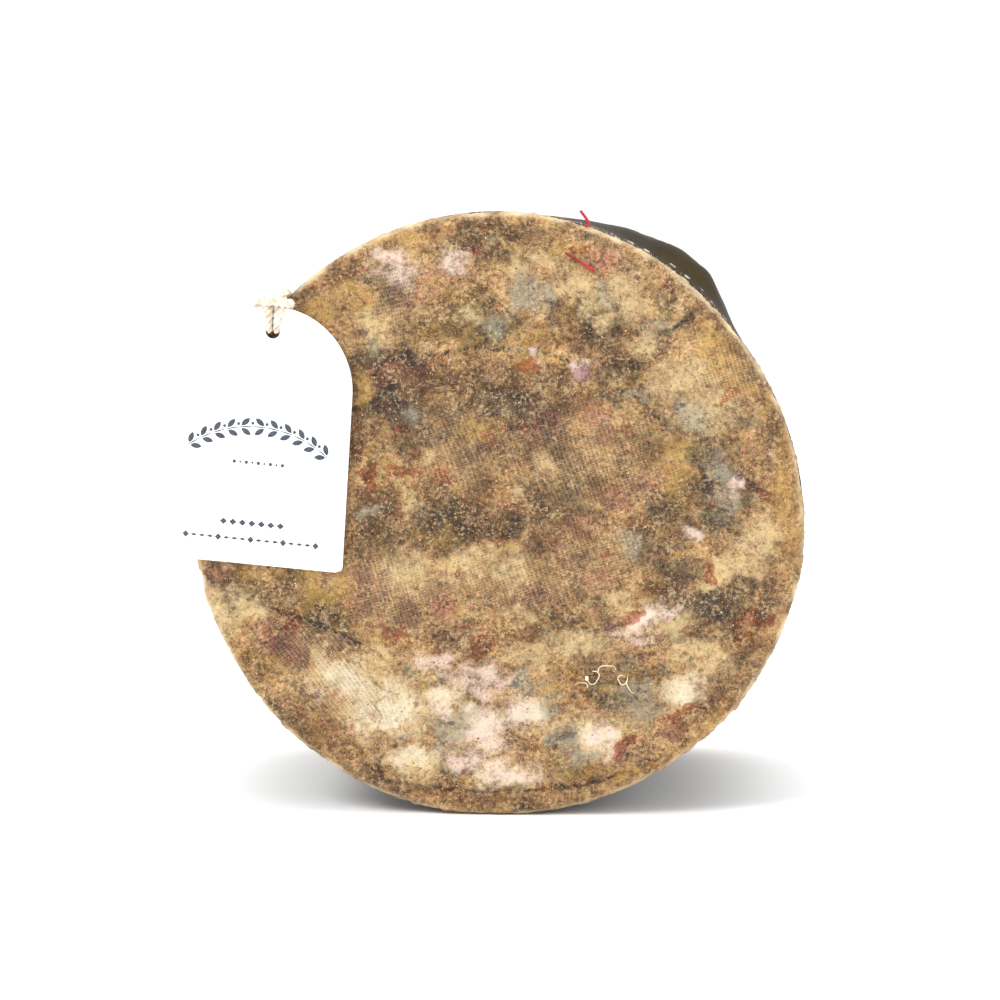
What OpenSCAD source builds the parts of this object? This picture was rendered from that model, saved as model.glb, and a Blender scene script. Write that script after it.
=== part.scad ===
// Small clothbound cheddar truckle, standing on its curved side, with a loose
// wrap round that side and a hang tag hitched on with cotton string.
// The axis of the cheese lies along Y and its front face looks along -Y.
// Angles round the cheese start at +X and turn towards +Z.

/* [Cheese] */
// Mean diameter across the round face
cheese_d = 155; // [120:1:200]
// Length along the axis, face to face
cheese_l = 100; // [70:1:140]
// Rounding of the rim between face and side
rim_r = 3; // [1.5:0.5:6]
// How much further the side stands out at mid-length than at its ends
barrel = 0.5; // [0:0.1:2]
// Height of the largest wave in the outline of the face
unevenness = 0.4; // [0:0.1:1]
// Width of the spot that the cheese has settled on
foot_w = 18; // [12:1:30]

/* [Side band] */
// Thickness of the wrap
band_t = 0.4; // [0.3:0.1:1]
// Distance from each face to the edge of the wrap
band_edge = 4.5; // [4:0.5:12]
// How far the loose stretch stands off the side
loose_h = 6; // [2:0.5:9]
// Angle at which the loose stretch starts
loose_from = 37; // [20:1:45]
// Angle at which the loose stretch ends
loose_to = 79; // [65:1:100]
// Angle of the lapped seam, on the loose stretch
seam_at = 49; // [46:1:60]
// How far the outer end laps over the inner end, in degrees
seam_lap = 9; // [6:1:12]
// Gap between the two lapped ends
seam_gap = 0.2; // [0.1:0.1:0.6]

/* [Hang tag] */
// Radius of the arched top of the tag
tag_arch_r = 21.4; // [15:0.1:26]
// Length of the tag below its arch
tag_body = 45; // [30:1:60]
// How much wider each side is at the bottom than at the arch
tag_flare = 0.8; // [0:0.1:3]
// Rounding of the two lower corners
tag_corner = 1.2; // [0.5:0.1:4]
// Thickness of one leaf
leaf_t = 0.5; // [0.3:0.1:1]
// Diameter of the hole for the string
tag_hole_d = 3.7; // [3.6:0.1:5]
// Distance from the top of the arch to the centre of the hole
tag_hole_drop = 6.4; // [6:0.1:8]
// Lean of the tag, lower end to the left, in degrees
tag_lean = 5.4; // [0:1:10]
// Turn of the back leaf against the front one, in degrees
leaf_turn = 0.6; // [0:0.1:1.5]
// Place of the hole to the left of the axis, as a share of the radius
tag_left = 0.732; // [0.70:0.002:0.76]
// Place of the hole above the axis, as a share of the radius
tag_up = 0.616; // [0.58:0.005:0.62]

/* [String and thread] */
// Diameter of the cotton string
string_d = 1.7; // [1.2:0.1:1.7]
// Diameter of the red thread
thread_d = 0.6; // [0.4:0.1:1]
// Length of the stitch on the face
stitch_l = 8.2; // [4:0.1:12]

/* [Hidden] */
// Free space left where two curved pieces pass each other
clear = 0.05;
turn_step = 4;
tube_sides = 8;
face_y = -cheese_l / 2;
cheese_r = cheese_d / 2;
foot_sag = cheese_r - sqrt(pow(cheese_r, 2) - pow(foot_w / 2, 2));
// Height of the axis above the surface that the cheese stands on
axis_z = outline(270) + band_t - foot_sag;
band_y = cheese_l / 2 - band_edge;
loose_peak = (loose_from + loose_to) / 2;

// ---- shared functions -------------------------------------------------------

// Radius of the uneven round outline at an angle, at the ends of the side
function outline(a) = cheese_r
    + unevenness * cos(2 * (a + 24))
    + 0.75 * unevenness * cos(3 * (a + 23))
    + 0.75 * unevenness * cos(4 * (a + 9));

// A rise from 0 to 1 with level ends
function ease(t) = let (s = min(1, max(0, t))) s * s * (3 - 2 * s);

// How far the side has swelled at a place along the axis
function swell(y) = barrel * (1 - pow(y / (cheese_l / 2), 2));

// How far the wrap stands off the side
function lift(a, y) =
    let (rise = ease((a - loose_from) / (loose_peak - loose_from)))
    let (fall = ease((loose_to - a) / (loose_to - loose_peak)))
    let (front = ease((y + band_y) / (0.45 * band_y)))
    loose_h * (a < loose_peak ? rise : fall) * (0.04 + 0.96 * front);

// A place on a ring, kept above a level, so that every ring shares one foot
function ring_point(r, a, y, level) = [r * cos(a), y, max(level, axis_z + r * sin(a))];

// Faces of a closed stack of rings, each ring with n points, with flat ends
function skin_faces(n, rings) = concat(
    [[for (i = [n - 1:-1:0]) i]],
    [[for (i = [0:n - 1]) (rings - 1) * n + i]],
    [for (k = [0:rings - 2], i = [0:n - 1])
        [k * n + i, k * n + (i + 1) % n, (k + 1) * n + (i + 1) % n]],
    [for (k = [0:rings - 2], i = [0:n - 1])
        [k * n + i, (k + 1) * n + (i + 1) % n, (k + 1) * n + i]]);

// ---- cheese -----------------------------------------------------------------

// Places along the axis where a ring of the side lies, the same for the wrap
side_ys = [-1, -0.78, -0.55, -0.25, 0.25, 0.6, 1] * band_y;
rim_steps = [0, 30, 60, 90];

// Each ring is its place along the axis and how far it lies inside the outline
rim_front = [for (t = rim_steps) [face_y + rim_r * (1 - cos(t)), rim_r * (1 - sin(t))]];
rim_back = [for (t = rim_steps) [-face_y - rim_r * (1 - sin(t)), rim_r * (1 - cos(t))]];

module truckle() {
    rings = concat(
        rim_front,
        [for (y = side_ys) [y, -swell(y)]],
        rim_back);
    points = [for (ring = rings, a = [0:turn_step:359])
        ring_point(outline(a) - ring[1], a, ring[0], band_t)];
    color("tan")
        polyhedron(points, skin_faces(360 / turn_step, len(rings)), convexity = 4);
}

// ---- side band --------------------------------------------------------------

// The outer end lies over the inner one, and both sit on the loose stretch
band_angles = concat(
    [for (a = [seam_at:1:loose_to]) a],
    [for (a = [ceil(loose_to / turn_step) * turn_step:turn_step:360 + loose_from - 1]) a],
    [for (a = [360 + loose_from:1:360 + seam_at + seam_lap]) a]);

// Height of a layer above the side: the outer end climbs over the inner one
function band_rise(a, y) =
    let (climb = ease((a - 360 - seam_at + 5) / 5))
    swell(y) + lift(a > 360 ? a - 360 : a, y) + climb * (band_t + seam_gap);

module side_band() {
    columns = len(band_angles);
    rows = len(side_ys);
    layer = rows * columns;
    points = concat(
        [for (y = side_ys, a = band_angles)
            ring_point(outline(a) + band_rise(a, y), a, y, band_t)],
        [for (y = side_ys, a = band_angles)
            ring_point(outline(a) + band_rise(a, y) + band_t, a, y, 0)]);
    across = [for (k = [0:rows - 2], i = [0:columns - 2]) k * columns + i];
    inner = concat(
        [for (q = across) [q, q + columns + 1, q + 1]],
        [for (q = across) [q, q + columns, q + columns + 1]]);
    outer = [for (f = inner) [f[0] + layer, f[2] + layer, f[1] + layer]];
    front = [for (i = [0:columns - 2]) [i, i + 1, i + 1 + layer, i + layer]];
    back_row = (rows - 1) * columns;
    back = [for (i = [0:columns - 2])
        [back_row + i, back_row + i + layer, back_row + i + 1 + layer, back_row + i + 1]];
    first = [for (k = [0:rows - 2])
        [k * columns, k * columns + layer, (k + 1) * columns + layer, (k + 1) * columns]];
    last_column = columns - 1;
    last = [for (k = [0:rows - 2])
        [k * columns + last_column, (k + 1) * columns + last_column,
         (k + 1) * columns + last_column + layer, k * columns + last_column + layer]];
    color("saddlebrown")
        polyhedron(points, concat(inner, outer, front, back, first, last), convexity = 8);
}

// ---- hang tag ---------------------------------------------------------------

tag_x = -tag_left * cheese_r;
tag_z = axis_z + tag_up * cheese_r;
string_r = string_d / 2;
leaves_t = 2 * leaf_t;
// The string runs down between the tag and the cheese at the hole
hole_y = face_y - string_d - 2 * clear - leaves_t;
arch_below_hole = tag_arch_r - tag_hole_drop;
tag_below_hole = arch_below_hole + tag_body;
// The lower end of the tag rests against the face of the cheese
tag_tilt = asin((string_d + clear) / tag_below_hole);

// From the tag, with x across it, y up it and z out of its front, to the part
function from_tag(p) =
    let (up = p[1] * cos(tag_tilt) - p[2] * sin(tag_tilt))
    let (out = p[1] * sin(tag_tilt) + p[2] * cos(tag_tilt))
    [tag_x + p[0] * cos(tag_lean) + up * sin(tag_lean),
     hole_y - out,
     tag_z - p[0] * sin(tag_lean) + up * cos(tag_lean)];

module on_tag() {
    translate([tag_x, hole_y, tag_z])
        rotate([90, 0, 0])
            rotate([0, 0, -tag_lean])
                rotate([tag_tilt, 0, 0])
                    children();
}

module tag_outline() {
    half_bottom = tag_arch_r + tag_flare;
    corner_y = -tag_below_hole + tag_corner;
    union() {
        translate([0, -arch_below_hole])
            circle(r = tag_arch_r, $fn = 120);
        polygon([[-tag_arch_r, -arch_below_hole], [-half_bottom, corner_y],
                 [half_bottom, corner_y], [tag_arch_r, -arch_below_hole]]);
        for (side = [-1, 1])
            translate([side * (half_bottom - tag_corner), corner_y])
                circle(r = tag_corner, $fn = 32);
        translate([tag_corner - half_bottom, -tag_below_hole])
            square([2 * (half_bottom - tag_corner), tag_corner + 1]);
    }
}

module leaf() {
    difference() {
        linear_extrude(leaf_t)
            tag_outline();
        translate([0, 0, -1])
            cylinder(d = tag_hole_d, h = leaf_t + 2, $fn = 48);
    }
}

module tag_front_leaf() {
    color("white")
        on_tag()
            translate([0, 0, -leaf_t])
                leaf();
}

module tag_back_leaf() {
    color("whitesmoke")
        on_tag()
            translate([0, 0, -leaves_t])
                rotate([0, 0, leaf_turn])
                    leaf();
}

// ---- string and thread ------------------------------------------------------

// A smooth curve through every point of a route, with one more point in each gap
function middle(r, i) =
    let (a = r[max(0, i - 1)])
    let (d = r[min(len(r) - 1, i + 2)])
    (9 * (r[i] + r[i + 1]) - a - d) / 16;
function smooth(r) = concat(
    [for (i = [0:len(r) - 2], half = [0, 1]) half == 0 ? r[i] : middle(r, i)],
    [r[len(r) - 1]]);

function unit(v) = v / norm(v);
function along(r, i) = unit(r[min(len(r) - 1, i + 1)] - r[max(0, i - 1)]);
// A side direction at each ring, carried along the route without a twist
function carried(r, n) = [for (i = 0, s = unit(n - (n * along(r, 0)) * along(r, 0));
    i < len(r);
    i = i + 1, s = i < len(r) ? unit(s - (s * along(r, i)) * along(r, i)) : s) s];

// A tube swept along a route, with a radius for each of its points
module tube(route, radii, side) {
    sides = carried(route, side);
    points = [for (i = [0:len(route) - 1], k = [0:tube_sides - 1])
        let (a = k * 360 / tube_sides)
        route[i] + radii[i] * (cos(a) * sides[i] + sin(a) * cross(along(route, i), sides[i]))];
    polyhedron(points, skin_faces(tube_sides, len(route)), convexity = 8);
}

// Both halves of the hitch are alike: up the front of the tag from the hole,
// under the bar and back over the top edge (tail), or up the back of the tag
// from the hole and round to the bar in front. Values in the tag's directions.
leg_x = string_r + 1.5 * clear;
behind = -leaves_t - string_r - clear;
before = string_r + clear;
top = tag_hole_drop;
hole_rest = 0.3;

function tail_points(s) = [
    [s * leg_x, top + 0.9, -0.6],
    [s * leg_x, top + 0.6, 0.3],
    [s * leg_x, top - 0.3, before + 0.1],
    [s * leg_x, 4.2, before],
    [s * leg_x, 2.2, before],
    [s * leg_x, 1.1, 0.95 * before],
    [s * leg_x, 0.45, 0.3]];

function back_points(s) = [
    [s * leg_x, hole_rest, -leaf_t],
    [s * leg_x, 0.45, -leaves_t - 0.3],
    [s * leg_x * 1.1, 1.1, -leaves_t - 0.95 * before],
    [s * 1.5, 2.4, behind],
    [s * 2.4, 4.2, behind],
    [s * 3.2, 5.9, behind],
    [s * 3.7, top + 0.8, behind + 0.8],
    [s * 3.75, top + 1.1, -0.4],
    [s * 3.3, top + 1.15, 1.1],
    [s * 2.2, top + 1.15, 1.9],
    [s * 1, top + 1.2, 2.2]];

function reverse(r) = [for (i = [len(r) - 1:-1:0]) r[i]];

// The tails run back over the rim and go into the cloth of the side
function tail_over_rim(a) = [
    for (p = [[0.6, -0.9], [0.25, 1.2], [0.05, 3]])
        let (r = outline(a) + p[0] + string_r + clear)
        [r * cos(a), face_y + p[1], axis_z + r * sin(a)]];

hitch = concat(
    reverse(tail_over_rim(136)),
    [for (p = concat(tail_points(-1), back_points(-1), reverse(back_points(1)),
                     reverse(tail_points(1)))) from_tag(p)],
    tail_over_rim(133));

module string() {
    route = smooth(hitch);
    color("ivory")
        tube(route, [for (p = route) string_r], [1, 0, 0]);
}

stitch_places = [for (t = [0:0.125:1]) t];
stitch_slope = -32;
stitch_start = [17.5, 67.5];

module red_stitch() {
    thread_r = thread_d / 2;
    route = [for (t = stitch_places)
        [stitch_start[0] + t * stitch_l * cos(stitch_slope),
         face_y - thread_r * 1.3 - clear,
         axis_z + stitch_start[1] + t * stitch_l * sin(stitch_slope) + 0.4 * sin(180 * t)]];
    color("firebrick")
        tube(route, [for (t = stitch_places) thread_r * (1 + 0.3 * t)], [0, 1, 0]);
}

// A loose end of the same thread stands up from the rim
thread_end_at = 73;
module red_thread_end() {
    thread_r = thread_d / 2;
    foot = outline(thread_end_at);
    places = [[0.08, 0], [0.9, 0.3], [1.7, 0.1], [2.6, -0.7], [3.6, -1.8]];
    route = [for (p = places)
        let (r = foot + p[0] + clear)
        [r * cos(thread_end_at) + p[1], face_y + rim_r + 0.2,
         axis_z + r * sin(thread_end_at)]];
    color("crimson")
        tube(smooth(route), [for (p = smooth(route)) thread_r], [0, 1, 0]);
}

truckle();
side_band();
tag_back_leaf();
tag_front_leaf();
string();
red_stitch();
red_thread_end();
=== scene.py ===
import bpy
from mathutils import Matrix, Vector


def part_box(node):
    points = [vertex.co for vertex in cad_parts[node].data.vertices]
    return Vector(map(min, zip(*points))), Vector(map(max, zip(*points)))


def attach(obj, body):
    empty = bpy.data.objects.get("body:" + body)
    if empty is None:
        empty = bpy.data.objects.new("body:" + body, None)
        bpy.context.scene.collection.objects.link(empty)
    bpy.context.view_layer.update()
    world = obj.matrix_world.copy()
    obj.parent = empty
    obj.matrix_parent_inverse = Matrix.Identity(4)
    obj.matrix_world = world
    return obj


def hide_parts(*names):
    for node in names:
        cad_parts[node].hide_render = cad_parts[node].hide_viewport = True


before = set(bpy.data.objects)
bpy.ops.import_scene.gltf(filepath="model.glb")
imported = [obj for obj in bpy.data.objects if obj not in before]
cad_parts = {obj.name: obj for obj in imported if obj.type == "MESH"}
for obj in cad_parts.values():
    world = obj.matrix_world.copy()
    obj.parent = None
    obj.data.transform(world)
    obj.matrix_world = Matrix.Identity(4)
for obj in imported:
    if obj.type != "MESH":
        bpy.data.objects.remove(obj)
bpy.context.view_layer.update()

import math

import bpy
import numpy as np
from mathutils import Vector

# ---- Place of the cheese -------------------------------------------------------------
# The truckle stands on its curved side. Its axis lies along Y and its tagged face
# looks along -Y. The outline is the same uneven round one as the solid cheese's.
MM = 0.001
CHEESE_R = 77.5 * MM
UNEVEN = 0.4 * MM
BARREL = 0.5 * MM
RIM_R = 3 * MM
cheese_low, cheese_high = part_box("truckle")
FACE_Y = cheese_low.y
BACK_Y = cheese_high.y
BAND_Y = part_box("side_band")[1].y


def outline(angle):
    """Radius of the face at an angle, in metres; angles are in radians from +X."""
    wave = np.cos(2 * (angle + math.radians(24)))
    wave = wave + 0.75 * np.cos(3 * (angle + math.radians(23)))
    wave = wave + 0.75 * np.cos(4 * (angle + math.radians(9)))
    return CHEESE_R + UNEVEN * wave


def swell(y):
    """How far the side has swelled at a place along the axis."""
    return BARREL * (1 - (y / BACK_Y) ** 2)


def ease(t):
    """A rise from 0 to 1 with level ends."""
    t = np.clip(t, 0, 1)
    return t * t * (3 - 2 * t)


AXIS_Z = cheese_high.z - float(outline(math.pi / 2)) - swell(0.25 * BAND_Y)
FOOT_Z = cheese_low.z

# ---- Camera and studio ---------------------------------------------------------------
# A still camera looks at the tagged face from a little above the axis, in a white
# studio: a pale floor that turns up into a backdrop, and large soft lights.
CAMERA_AHEAD = 620 * MM
CAMERA_ABOVE = 58 * MM
CAMERA_RIGHT = 30 * MM
AIM_ABOVE = 4.8 * MM
AIM_RIGHT = 0.9 * MM
LENS_PER_METRE = 141.0
FLOOR_HALF = 3
WALL_HIGH = 3

bpy.ops.object.select_all(action="DESELECT")
bpy.ops.object.camera_add(location=(CAMERA_RIGHT, FACE_Y - CAMERA_AHEAD, AXIS_Z + CAMERA_ABOVE))
camera = bpy.context.object
camera.name = "camera"
aim = Vector((AIM_RIGHT, FACE_Y, AXIS_Z + AIM_ABOVE))
camera.rotation_euler = (aim - camera.location).to_track_quat("-Z", "Y").to_euler()
camera.data.lens = LENS_PER_METRE * (aim - camera.location).length
camera.data.sensor_width = 36
camera.data.clip_start = 0.01
bpy.context.scene.camera = camera
bpy.context.scene.view_settings.view_transform = "Standard"


def add_node(tree, kind, inputs=None, **settings):
    """A shader node with its settings, and with values or links put in its inputs."""
    made = tree.nodes.new(kind)
    for name, value in settings.items():
        setattr(made, name, value)
    for name, value in (inputs or {}).items():
        if isinstance(value, bpy.types.NodeSocket):
            tree.links.new(value, made.inputs[name])
        else:
            made.inputs[name].default_value = value
    return made


def new_material(name):
    """An empty node material, its tree and its output."""
    material = bpy.data.materials.new(name)
    material.use_nodes = True
    tree = material.node_tree
    tree.nodes.clear()
    output = tree.nodes.new("ShaderNodeOutputMaterial")
    return material, tree, output


def finish_with(tree, output, inputs):
    """Ends a material in one Principled shader that has these inputs."""
    shader = add_node(tree, "ShaderNodeBsdfPrincipled", inputs)
    tree.links.new(shader.outputs[0], output.inputs["Surface"])


def srgb(red, green, blue):
    """A colour given as on a screen, 0 to 255, as the linear values that shaders take."""
    shares = [value / 255 for value in (red, green, blue)]
    return tuple(s / 12.92 if s <= 0.04045 else ((s + 0.055) / 1.055) ** 2.4 for s in shares) + (1,)


bpy.ops.object.select_all(action="DESELECT")
bpy.ops.mesh.primitive_plane_add(size=2 * FLOOR_HALF, location=(0, 0, 0))
floor = bpy.context.object
floor.name = "studio_floor"
bpy.ops.object.mode_set(mode="EDIT")
bpy.ops.mesh.select_mode(type="EDGE")
bpy.ops.mesh.select_all(action="DESELECT")
bpy.ops.object.mode_set(mode="OBJECT")
for edge in floor.data.edges:
    edge.select = all(floor.data.vertices[v].co.y > 0 for v in edge.vertices)
bpy.ops.object.mode_set(mode="EDIT")
bpy.ops.mesh.extrude_region_move(TRANSFORM_OT_translate={"value": (0, 0, WALL_HIGH)})
bpy.ops.mesh.select_all(action="DESELECT")
bpy.ops.object.mode_set(mode="OBJECT")
for edge in floor.data.edges:
    ends = [floor.data.vertices[v].co for v in edge.vertices]
    edge.select = all(end.y > 0 and end.z < 0.1 for end in ends)
bpy.ops.object.mode_set(mode="EDIT")
bpy.ops.mesh.bevel(offset=1.2, segments=16)
bpy.ops.object.mode_set(mode="OBJECT")
bpy.ops.object.shade_smooth()
floor_material, tree, output = new_material("studio_white")
finish_with(tree, output, {"Base Color": (0.93, 0.93, 0.93, 1), "Roughness": 0.9})
floor.data.materials.append(floor_material)

world = bpy.data.worlds.new("studio_air")
world.use_nodes = True
world.node_tree.nodes["Background"].inputs["Color"].default_value = (1, 1, 1, 1)
world.node_tree.nodes["Background"].inputs["Strength"].default_value = 1.05
bpy.context.scene.world = world


def soft_light(name, place, size, power):
    """A square soft box that looks at the middle of the cheese."""
    bpy.ops.object.light_add(type="AREA", location=place)
    light = bpy.context.object
    light.name = name
    light.data.shape = "SQUARE"
    light.data.size = size
    light.data.energy = power
    towards = Vector((0, 0, AXIS_Z)) - light.location
    light.rotation_euler = towards.to_track_quat("-Z", "Y").to_euler()
    return light


soft_light("key_left", (-0.75, -0.75, 1.0), 0.5, 11)
soft_light("fill_right", (1.0, -0.9, 0.6), 0.9, 4)
soft_light("top", (0.1, 0.15, 1.4), 1.2, 14)

# ---- Cheese --------------------------------------------------------------------------
# One cheddar, bound in muslin while young. A round cap of cloth is pressed on each
# end and turned over the rim, and a strip of cloth goes round the side under the
# wrap. In the cellar the cloth is grown through with moulds of many colours.
CELLS = 268
CAP_DEPTH = 7 * MM
RIM_RINGS = 7
SIDE_RINGS = 4
# How far off a lap's step fades out and how wide its edge is, in millimetres, and how
# many times its height it is raised
LAP_FADE = 9
LAP_EDGE = 0.8
LAP_LIFT = 1.6
# Directions of the weave in degrees, and how far the lower layer reaches in millimetres
MAIN_WEAVE = 18.0
LOWER_WEAVE = 38.0
PATCH_WEAVE = 102.0
LOWER_LAYER_WIDE = 45
LOWER_LAYER_EDGE = -30


def waves(places, length, seed, count=28):
    """A smooth random field, about -1 to 1, with hills about one length apart."""
    draw = np.random.default_rng(seed)
    turn = draw.normal(size=(count, places.shape[1]))
    turn /= np.linalg.norm(turn, axis=1)[:, None]
    turn *= (2 * math.pi / length) * draw.uniform(0.7, 1.4, count)[:, None]
    shift = draw.uniform(0, 2 * math.pi, count)
    return np.cos(places @ turn.T + shift).sum(axis=1) / math.sqrt(count / 2) * 0.6


def spot(places, x, z, wide, high, turn=0):
    """1 in the middle of an oval spot and 0 well outside it; sizes are in millimetres."""
    c, s = math.cos(math.radians(turn)), math.sin(math.radians(turn))
    dx, dz = places[:, 0] - x, places[:, 1] - z
    far = ((dx * c + dz * s) / wide) ** 2 + ((dz * c - dx * s) / high) ** 2
    return np.exp(-0.8 * far ** 1.2)


def spots(places, listed):
    """The strongest of several spots at each place."""
    field = np.zeros(len(places))
    for one in listed:
        field = np.maximum(field, spot(places, *one))
    return field


def path_distance(places, path):
    """Distance in millimetres to a path of straight pieces, and the side: + on its left."""
    best = np.full(len(places), 1e9)
    side = np.ones(len(places))
    for start, end in zip(path[:-1], path[1:]):
        a, d = np.array(start, float), np.array(end, float) - np.array(start, float)
        t = np.clip(((places - a) @ d) / (d @ d), 0, 1)
        off = places - a - t[:, None] * d
        far = np.linalg.norm(off, axis=1)
        cross = d[0] * (places[:, 1] - a[1]) - d[1] * (places[:, 0] - a[0])
        nearer = far < best
        best[nearer] = far[nearer]
        side[nearer] = np.sign(cross[nearer])
    return best, side


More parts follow.
